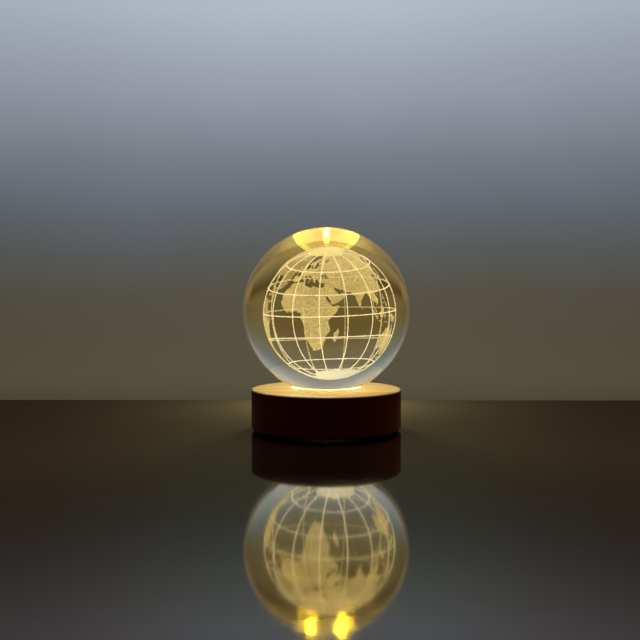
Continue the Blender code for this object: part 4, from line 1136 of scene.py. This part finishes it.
def screw(name, shaft_r, head_r, tip, low, high, countersunk=False):
    """A screw standing head up about Z: shaft with thread, head and cross recess."""
    if countersunk:
        head = [(0, high), (head_r - 0.1, high)] + fillet((head_r - 0.1, high - 0.1), 0.1, 90, 0, 3)
        head += [(head_r, high - 0.2), (shaft_r, low)]
    else:
        head = [(0, high), (head_r * 0.5, high - 0.03)] + fillet((head_r - 0.45, high - 0.45), 0.45, 80, 0, 6)
        head += [(head_r, low + 0.06), (head_r - 0.06, low), (shaft_r, low)]
    pitch = shaft_r * 0.62
    thread = []
    z = low - 0.5
    while z > tip + 1.1 + pitch:
        thread += [(shaft_r * 0.80, z), (shaft_r, z - pitch * 0.35), (shaft_r * 0.80, z - pitch * 0.7)]
        z -= pitch
    obj = turned(name, head + [(shaft_r, low - 0.3)] + thread + [(shaft_r * 0.8, tip + 1.0), (0.1, tip), (0, tip)], STEEL, 40)
    depth = (high - low) * 0.6
    arm = head_r * 1.15
    tools = [block("t", (arm, 0.36, 2 * depth), (0, 0, high)), block("t", (0.36, arm, 2 * depth), (0, 0, high))]
    tools.append(bar("t", 0.16, high - depth * 1.15, high + 0.1, top_radius=0.36, segments=16))
    boolean(obj, tools)
    obj.data.materials.clear()
    obj.data.materials.append(STEEL)
    return obj


def copies(first, names):
    first.name = names[0]
    out = [first]
    for n in names[1:]:
        twin = bpy.data.objects.new(n, first.data.copy())
        scene.collection.objects.link(twin)
        out.append(twin)
    return out


FLIP = Matrix.Rotation(math.pi, 4, "X")
low = BOARD_TOP + GAP
for i, (obj, a) in enumerate(
    zip(copies(screw("k", 0.8, 1.8, 10.9, low, low + 1.1), ["board_fixing_1", "board_fixing_2"]), BOARD_SCREW_AZIMUTHS)
):
    piece(move(obj, polar(a, BOARD_SCREW_RADIUS)), "base", "steel", f"board_screw_{i + 1}")
names = ["cup_fixing_1", "cup_fixing_2", "cup_fixing_3"]
first = screw("k", 0.9, 1.8, -16.2, -(CUP_UNDER - GAP), -(CUP_UNDER - GAP) + 1.2)
for i, (obj, a) in enumerate(zip(copies(first, names), SCREW_AZIMUTHS)):
    piece(move(obj, polar(a, CUP_SCREW_RADIUS) @ FLIP), "base", "steel", f"cup_screw_{i + 1}")
names = ["cover_fixing_1", "cover_fixing_2", "cover_fixing_3"]
first = screw("k", 0.9, 1.75, -9.0, -2.35, -BASE_BOTTOM - 0.05, countersunk=True)
for i, (obj, a) in enumerate(zip(copies(first, names), SCREW_AZIMUTHS)):
    piece(move(obj, polar(a, COVER_SCREW_RADIUS) @ FLIP), "base", "steel", f"cover_screw_{i + 1}")


# ---------------------------------------------------------------- inlet

boss_x, boss_y = 4.6, INLET_BOARD_Y - 2.7
inlet = block(
    "inlet_card", INLET_BOARD, (0, INLET_BOARD_Y, (INLET_BOARD_TOP + INLET_BOARD_UNDER) / 2), GREEN_BOARD, bevel=0.12, steps=2
)
boolean(inlet, [bar("t", 1.1, 3.0, 7.0, at=(s * boss_x, boss_y), segments=32) for s in (-1, 1)])
inlet.data.materials.clear()
inlet.data.materials.append(GREEN_BOARD)
parts = [inlet]
top = INLET_BOARD_TOP
for x in (-1.5, 1.5):
    parts.append(turned("k", [(0, top + 0.2), (0.5, top + 0.17), (0.85, top + 0.02), (0.85, top - 0.02), (0, top - 0.02)], SOLDER, 24))
    move(parts[-1], Matrix.Translation((x * MM, 18.9 * MM, 0)))
for i in range(6):
    parts.append(block("k", (0.3, 1.1, 0.06), (-2.5 + i, 22.3, top + 0.02), SOLDER, bevel=0.02))
piece(joined("inlet_card", parts), "base", "green_board", "inlet_board")
names = ["inlet_fixing_1", "inlet_fixing_2"]
first = screw("k", 0.8, 1.7, 1.9, top + GAP, top + GAP + 1.0)
for i, (obj, s) in enumerate(zip(copies(first, names), (-1, 1))):
    piece(move(obj, Matrix.Translation((s * boss_x * MM, boss_y * MM, 0))), "base", "steel", f"inlet_screw_{i + 1}")

length, mid = SHELL_MOUTH_Y - SHELL_BACK_Y, (SHELL_MOUTH_Y + SHELL_BACK_Y) / 2
shell = block("socket_shell", (SHELL_W, length, SHELL_H), (0, mid, SIDE_Z), SHELL_STEEL, bevel=1.5, along=1, steps=14)
bore = block("t", (SHELL_W - 2 * SHELL_T, length + 4, SHELL_H - 2 * SHELL_T), (0, mid, SIDE_Z), bevel=1.22, along=1, steps=14)
seam = block("t", (0.12, length + 1, 1.0), (0, mid, SIDE_Z - SHELL_H / 2 - 0.42))
spring = [block("t", (1.3, 0.12, 1.0), (s * 2.2, mid - 0.4, SIDE_Z + SHELL_H / 2 + 0.38)) for s in (-1, 1)]
boolean(shell, [bore, seam] + spring)
mod = shell.modifiers.new("edge", "BEVEL")
mod.width, mod.segments, mod.limit_method, mod.angle_limit = 0.00006, 2, "ANGLE", math.radians(50)
applied(shell, 40)
shell.data.materials.clear()
shell.data.materials.append(SHELL_STEEL)
piece(shell, "base", "steel", "usb_socket_shell")
plug_back = block(
    "socket_tongue",
    (SHELL_W - 2 * SHELL_T - 2 * GAP, 1.6, SHELL_H - 2 * SHELL_T - 2 * GAP),
    (0, SHELL_BACK_Y + 0.8, SIDE_Z),
    BUTTON_PLASTIC,
    bevel=0.9,
    along=1,
    steps=8,
)
boolean(plug_back, [block("t", (6.6, 5.6, 0.7), (0, SHELL_BACK_Y + 3.8, SIDE_Z), bevel=0.12, steps=3)], "UNION")
plug_back.data.materials.clear()
plug_back.data.materials.append(BUTTON_PLASTIC)
contacts = [plug_back]
for side in (-1, 1):
    for i in range(12):
        contacts.append(
            block("k", (0.26, 3.4, 0.03), (-2.75 + 0.5 * i, SHELL_BACK_Y + 4.2, SIDE_Z + side * 0.355), GOLD, bevel=0.008, steps=1)
        )
piece(joined("socket_tongue", contacts), "base", "black_plastic", "usb_socket_tongue")


# ---------------------------------------------------------------- switch and button

switch = block("switch_case", (SWITCH_SIDE, 5.0, SWITCH_SIDE), (0, 24.5, 0), BLACK_PLASTIC, bevel=0.28, steps=4)
boolean(switch, [block("t", (2.8, 6.5, 2.8), (0, 26.75, 0))])
switch.data.materials.clear()
switch.data.materials.append(BLACK_PLASTIC)
legs = [block("k", (0.7, 0.9, 0.25), (s * 1.6, 22.2, t * 1.9), SOLDER, bevel=0.05) for s in (-1, 1) for t in (-1, 1)]
piece(move(joined("switch_case", [switch] + legs), button_frame(False)), "base", "black_plastic", "switch_body")
plunger = block("switch_stem", (2.2, 3.4, 2.2), (0, 27.3, 0), WHITE_PLASTIC, bevel=0.22, steps=4)
piece(move(plunger, button_frame(False)), "button", "white_plastic", "switch_plunger")
button = turned(
    "button_top",
    [(0, 36.72), (0.6, 36.74), (1.2, 36.8), (1.7, 36.92)]
    + fillet((BUTTON_R - 0.42, 36.58), 0.42, 100, 0, 7)
    + [(BUTTON_R, 34.0), (BUTTON_R, 30.3)]
    + fillet((BUTTON_FLANGE_R - 0.15, 30.15), 0.15, 90, 0, 3)
    + [(BUTTON_FLANGE_R, 29.4), (BUTTON_FLANGE_R - 0.1, 29.3), (0, 29.3)],
    BUTTON_PLASTIC,
    segments=96,
)
piece(move(button, button_frame()), "button", "black_plastic", "button_cap")


# ---------------------------------------------------------------- bottom cover and feet

cover = turned(
    "cover_black",
    [(0, COVER_TOP)]
    + fillet((COVER_R - 0.15, COVER_TOP - 0.15), 0.15, 90, 0, 3)
    + fillet((COVER_R - 0.3, BASE_BOTTOM + 0.3), 0.3, 0, -90, 5)
    + [(19.4, BASE_BOTTOM), (19.25, BASE_BOTTOM + 0.25), (18.75, BASE_BOTTOM + 0.25), (18.6, BASE_BOTTOM), (0, BASE_BOTTOM)],
    BLACK_PLASTIC,
    segments=200,
)
boolean(
    cover,
    [
        bar("t", 2.0, COVER_TOP - 0.8, INLET_BOARD_UNDER - GAP, at=(s * boss_x, boss_y), segments=48)
        for s in (-1, 1)
    ],
    "UNION",
)
tools = [bar("t", 1.1, 1.7, 6.0, at=(s * boss_x, boss_y), segments=32) for s in (-1, 1)]
for a in SCREW_AZIMUTHS:
    tools.append(move(bar("t", 1.2, 0.0, 4.0, segments=32), polar(a, COVER_SCREW_RADIUS)))
    tools.append(move(bar("t", 2.51, 0.6, 2.65, top_radius=0.93, segments=48), polar(a, COVER_SCREW_RADIUS)))
for a in (45, 135, 225, 315):
    tools.append(move(bar("t", FOOT_R + 0.35, 0.6, BASE_BOTTOM + 0.12, segments=64), polar(a, FOOT_RADIUS)))
boolean(cover, tools)
cover.data.materials.clear()
cover.data.materials.append(BLACK_PLASTIC)
piece(cover, "base", "black_plastic", "bottom_cover")

foot = turned(
    "foot_pad_1",
    [(0, FOOT_T)]
    + fillet((FOOT_R - 0.1, FOOT_T - 0.1), 0.1, 90, 0, 2)
    + fillet((FOOT_R - 0.3, 0.3), 0.3, 0, -90, 5)
    + [(2.9, 0.0), (2.75, 0.14), (2.45, 0.14), (2.3, 0.0), (1.5, 0.0), (1.35, 0.14), (1.05, 0.14), (0.9, 0.0), (0, 0.0)],
    RUBBER,
    segments=96,
)
for i, (obj, a) in enumerate(zip(copies(foot, [f"foot_pad_{n}" for n in (1, 2, 3, 4)]), (45, 135, 225, 315))):
    piece(move(obj, polar(a, FOOT_RADIUS)), "base", "black_rubber", f"foot_{i + 1}")


# ---------------------------------------------------------------- wires


def spline_points(knots, spacing=0.6):
    """Points at about this spacing along a smooth curve through the knots (centripetal Catmull-Rom), in mm."""
    knots = [Vector(k) for k in knots]
    knots = [2 * knots[0] - knots[1]] + knots + [2 * knots[-1] - knots[-2]]
    points = []
    for p0, p1, p2, p3 in zip(knots, knots[1:], knots[2:], knots[3:]):
        t1 = (p1 - p0).length ** 0.5
        t2 = t1 + (p2 - p1).length ** 0.5
        t3 = t2 + (p3 - p2).length ** 0.5
        count = max(2, round((p2 - p1).length / spacing))
        for i in range(count):
            t = t1 + (t2 - t1) * i / count
            a1 = p0 * ((t1 - t) / t1) + p1 * (t / t1)
            a2 = p1 * ((t2 - t) / (t2 - t1)) + p2 * ((t - t1) / (t2 - t1))
            a3 = p2 * ((t3 - t) / (t3 - t2)) + p3 * ((t - t2) / (t3 - t2))
            b1 = a1 * ((t2 - t) / t2) + a2 * (t / t2)
            b2 = a2 * ((t3 - t) / (t3 - t1)) + a3 * ((t - t1) / (t3 - t1))
            points.append(b1 * ((t2 - t) / (t2 - t1)) + b2 * ((t - t1) / (t2 - t1)))
    return points + [knots[-2]]


def wire(name, knots, mat, slot, node):
    """A wire: an insulated sleeve along a smooth curve, its ends capped."""
    points = spline_points(knots)
    curve = bpy.data.curves.new(name, "CURVE")
    curve.dimensions = "3D"
    spline = curve.splines.new("POLY")
    spline.points.add(len(points) - 1)
    for slot_point, point in zip(spline.points, points):
        slot_point.co = (*(point * MM), 1.0)
    curve.bevel_depth = WIRE_R * MM
    curve.bevel_resolution = 5
    curve.use_fill_caps = True
    obj = bpy.data.objects.new("k", curve)
    scene.collection.objects.link(obj)
    bpy.context.view_layer.update()
    mesh = bpy.data.meshes.new_from_object(obj.evaluated_get(bpy.context.evaluated_depsgraph_get()))
    bpy.data.objects.remove(obj, do_unlink=True)
    mesh.materials.clear()
    shade(mesh, 50)
    return piece(obj_from(name, mesh, mat), "base", slot, node)


board_edge = INLET_BOARD_TOP + GAP + WIRE_R
under_board = BOARD_UNDER - GAP
b = math.radians(BUTTON_AZIMUTH)
switch_back = Vector((math.cos(b), math.sin(b), 0)) * (22.0 - GAP)
back = switch_back.normalized() * 2.2
across = Vector((math.sin(b), -math.cos(b), 0)) * 1.4
up = Vector((0, 0, 6.4))
wire(
    "lead_black",
    [(-1.5, 20.0, board_edge), (-1.6, 17.4, board_edge), (-2.6, 12.0, 4.9), (-3.2, 6.0, 4.5), (-1.2, 1.4, 6.4)]
    + [(-1.0, 0.0, 9.2), (-1.0, 0.0, under_board)],
    BLACK_WIRE,
    "black_wire",
    "wire_black",
)
wire(
    "lead_red_inlet",
    [(1.5, 20.0, board_edge), (1.6, 17.6, board_edge), (3.0, 14.6, 5.4), (6.0, 14.0, 5.6)]
    + [tuple(switch_back - across - back + up), tuple(switch_back - across + up)],
    RED_WIRE,
    "red_wire",
    "wire_red_inlet",
)
wire(
    "lead_red_lamp",
    [tuple(switch_back + across + up), tuple(switch_back + across - back + up)]
    + [(9.4, 10.4, 5.4), (6.0, 5.0, 4.6), (2.2, 1.0, 6.2), (1.0, 0.0, 9.2), (1.0, 0.0, under_board)],
    RED_WIRE,
    "red_wire",
    "wire_red_lamp",
)


for obj in list(scene.objects):
    if obj.type == "MESH" and obj in PIECES:
        flat_faces(obj)


# ---------------------------------------------------------------- light

clear = [o for o in scene.objects if o.name == "ball_glass" or o.name.startswith("engraved_")]
see_through = bpy.data.collections.new("clear_of_shadow")
for obj in clear:
    see_through.objects.link(obj)
    if obj is not ball:  # the fine marks don't stand in the way of light reflected inside the glass
        obj.visible_glossy = False
for entry in see_through.collection_objects:
    entry.light_linking.link_state = "EXCLUDE"


def lamp(name, kind, at, energy, colour, size=0.3, target=(0, 0, 0.05), receivers=None, blockers=see_through, **props):
    data = bpy.data.lights.new(name, kind)
    data.energy, data.color = energy, colour
    if kind == "AREA":
        data.shape, data.size, data.size_y = "RECTANGLE", size[0], size[1]
    elif kind == "SUN":
        data.angle = size
    else:
        data.shadow_soft_size = size
    obj = bpy.data.objects.new(name, data)
    scene.collection.objects.link(obj)
    obj.location = at
    if kind == "AREA":
        obj.rotation_euler = (Vector(target) - Vector(at)).to_track_quat("-Z", "Y").to_euler()
    if receivers:
        group = bpy.data.collections.new(name + "_on")
        for r in receivers:
            group.objects.link(r)
        obj.light_linking.receiver_collection = group
    if blockers:
        obj.light_linking.blocker_collection = blockers
    for key, value in props.items():
        setattr(obj, key, value)
    return obj


world = bpy.data.worlds.new("studio")
scene.world = world
world.use_nodes = True
nodes, links = world.node_tree.nodes, world.node_tree.links
coords = nodes.new("ShaderNodeTexCoord")
split = nodes.new("ShaderNodeSeparateXYZ")
links.new(coords.outputs["Generated"], split.inputs[0])
fade = nodes.new("ShaderNodeValToRGB")
half = nodes.new("ShaderNodeMath")
half.operation = "MULTIPLY_ADD"
half.inputs[1].default_value = half.inputs[2].default_value = 0.5
links.new(split.outputs["Z"], half.inputs[0])
links.new(half.outputs[0], fade.inputs["Fac"])
stops = (
    (0.40, (0.012, 0.010, 0.008)),
    (0.50, (0.023, 0.018, 0.011)),
    (0.575, (0.036, 0.030, 0.016)),
    (0.59, (0.049, 0.043, 0.022)),
    (0.61, (0.042, 0.040, 0.025)),
    (0.63, (0.044, 0.046, 0.037)),
    (0.65, (0.062, 0.070, 0.064)),
    (0.672, (0.098, 0.112, 0.110)),
    (0.69, (0.132, 0.146, 0.166)),
    (0.76, (0.108, 0.118, 0.136)),
    (0.88, (0.032, 0.034, 0.038)),
)
while len(fade.color_ramp.elements) < len(stops):
    fade.color_ramp.elements.new(0.5)
for e, (at, colour) in zip(fade.color_ramp.elements, stops):
    e.position, e.color = at, (*colour, 1.0)
# the room is dimmer and warmer to the sides
side = nodes.new("ShaderNodeMath")
side.operation = "ABSOLUTE"
links.new(split.outputs["X"], side.inputs[0])
spread = nodes.new("ShaderNodeMapRange")
spread.interpolation_type = "SMOOTHSTEP"
spread.inputs["From Min"].default_value, spread.inputs["From Max"].default_value = 0.06, 0.36
links.new(side.outputs[0], spread.inputs["Value"])
dim = nodes.new("ShaderNodeMix")
dim.data_type, dim.blend_type = "RGBA", "MULTIPLY"
dim.inputs[7].default_value = (0.74, 0.56, 0.60, 1.0)
links.new(spread.outputs["Result"], dim.inputs["Factor"])
links.new(fade.outputs["Color"], dim.inputs[6])
links.new(dim.outputs[2], nodes["Background"].inputs["Color"])
nodes["Background"].inputs["Strength"].default_value = 1.0
world.cycles_visibility.diffuse = False

unseen = dict(visible_glossy=False, visible_transmission=False, visible_camera=False)
lamp("softbox_left", "AREA", (-0.75, -0.55, 0.85), 1.3, (1.0, 0.98, 0.95), (0.9, 0.9), **unseen)
lamp("softbox_top", "AREA", (0.15, 0.05, 1.1), 0.45, (0.94, 0.97, 1.0), (1.2, 1.0), **unseen)
lamp("softbox_back", "AREA", (0.40, 0.72, 0.55), 2.6, (1.0, 0.97, 0.93), (0.6, 0.6), (0, 0, 0.01), **unseen)
lamp("softbox_right", "AREA", (0.85, 0.0, 0.45), 1.2, (1.0, 0.97, 0.93), (0.6, 0.6), (0, 0, 0.01), **unseen)
stage_off = bpy.data.collections.new("not_on_stage")
for obj in (floor, wall, gathered):
    stage_off.objects.link(obj)
for entry in stage_off.collection_objects:
    entry.light_linking.link_state = "EXCLUDE"
solid_only = bpy.data.collections.new("not_on_stage_or_glass")
for obj in (floor, wall, gathered, *clear):
    solid_only.objects.link(obj)
for entry in solid_only.collection_objects:
    entry.light_linking.link_state = "EXCLUDE"
for box in (b for b in scene.objects if b.name.startswith("softbox")):
    box.light_linking.receiver_collection = solid_only if box.name in ("softbox_back", "softbox_right") else stage_off
wash = lamp("wall_wash", "SUN", (0, -1, 1), 3.7, (1.0, 1.0, 1.0), 0.2, receivers=[wall, gathered], **unseen)
wash.rotation_euler = (math.radians(80), 0, 0)

base_only = bpy.data.collections.new("base_shadow")
base_only.objects.link(wood)
warm = (0.94, 0.97, 0.58)
lamp("glow_on_base", "POINT", (0, 0, 0.058), 0.125, warm, 0.018, receivers=[wood], blockers=base_only, **unseen)
lamp("glow_on_stage", "POINT", (0, 0, 0.060), 0.008, (1.0, 0.86, 0.40), 0.025, receivers=[floor], blockers=base_only, **unseen)
lamp("glow_behind", "POINT", (0, 0.094, 0.040), 0.30, (1.0, 0.84, 0.42), 0.02, receivers=[floor], blockers=base_only, **unseen)
well = [o for o in scene.objects if o.name == "cup_white" or o.name.startswith("led_disc") or o.name.endswith("_pads")]
for i, azimuth in enumerate(LED_AZIMUTHS):
    a = math.radians(azimuth)
    at = (LED_RADIUS * math.cos(a) * MM, LED_RADIUS * math.sin(a) * MM, 0.0170)
    lamp(f"led_throw_{i + 1}", "POINT", at, (0.033, 0.033, 0.006)[i], (1.0, 0.88, 0.20), 0.0012, receivers=well, blockers=base_only, **unseen)

scene.view_settings.view_transform = "Standard"
scene.view_settings.look = "None"
scene.cycles.use_denoising = True
scene.cycles.denoiser = "OPENIMAGEDENOISE"
scene.cycles.denoising_input_passes = "RGB_ALBEDO_NORMAL"
scene.cycles.max_bounces = 24
scene.cycles.diffuse_bounces = 6
scene.cycles.glossy_bounces = 12
scene.cycles.transmission_bounces = 24
scene.cycles.transparent_max_bounces = 16
scene.cycles.caustics_reflective = False
scene.cycles.caustics_refractive = False
scene.cycles.sample_clamp_indirect = 0.0
scene.cycles.blur_glossy = 0.0
scene.cycles.seed = 3
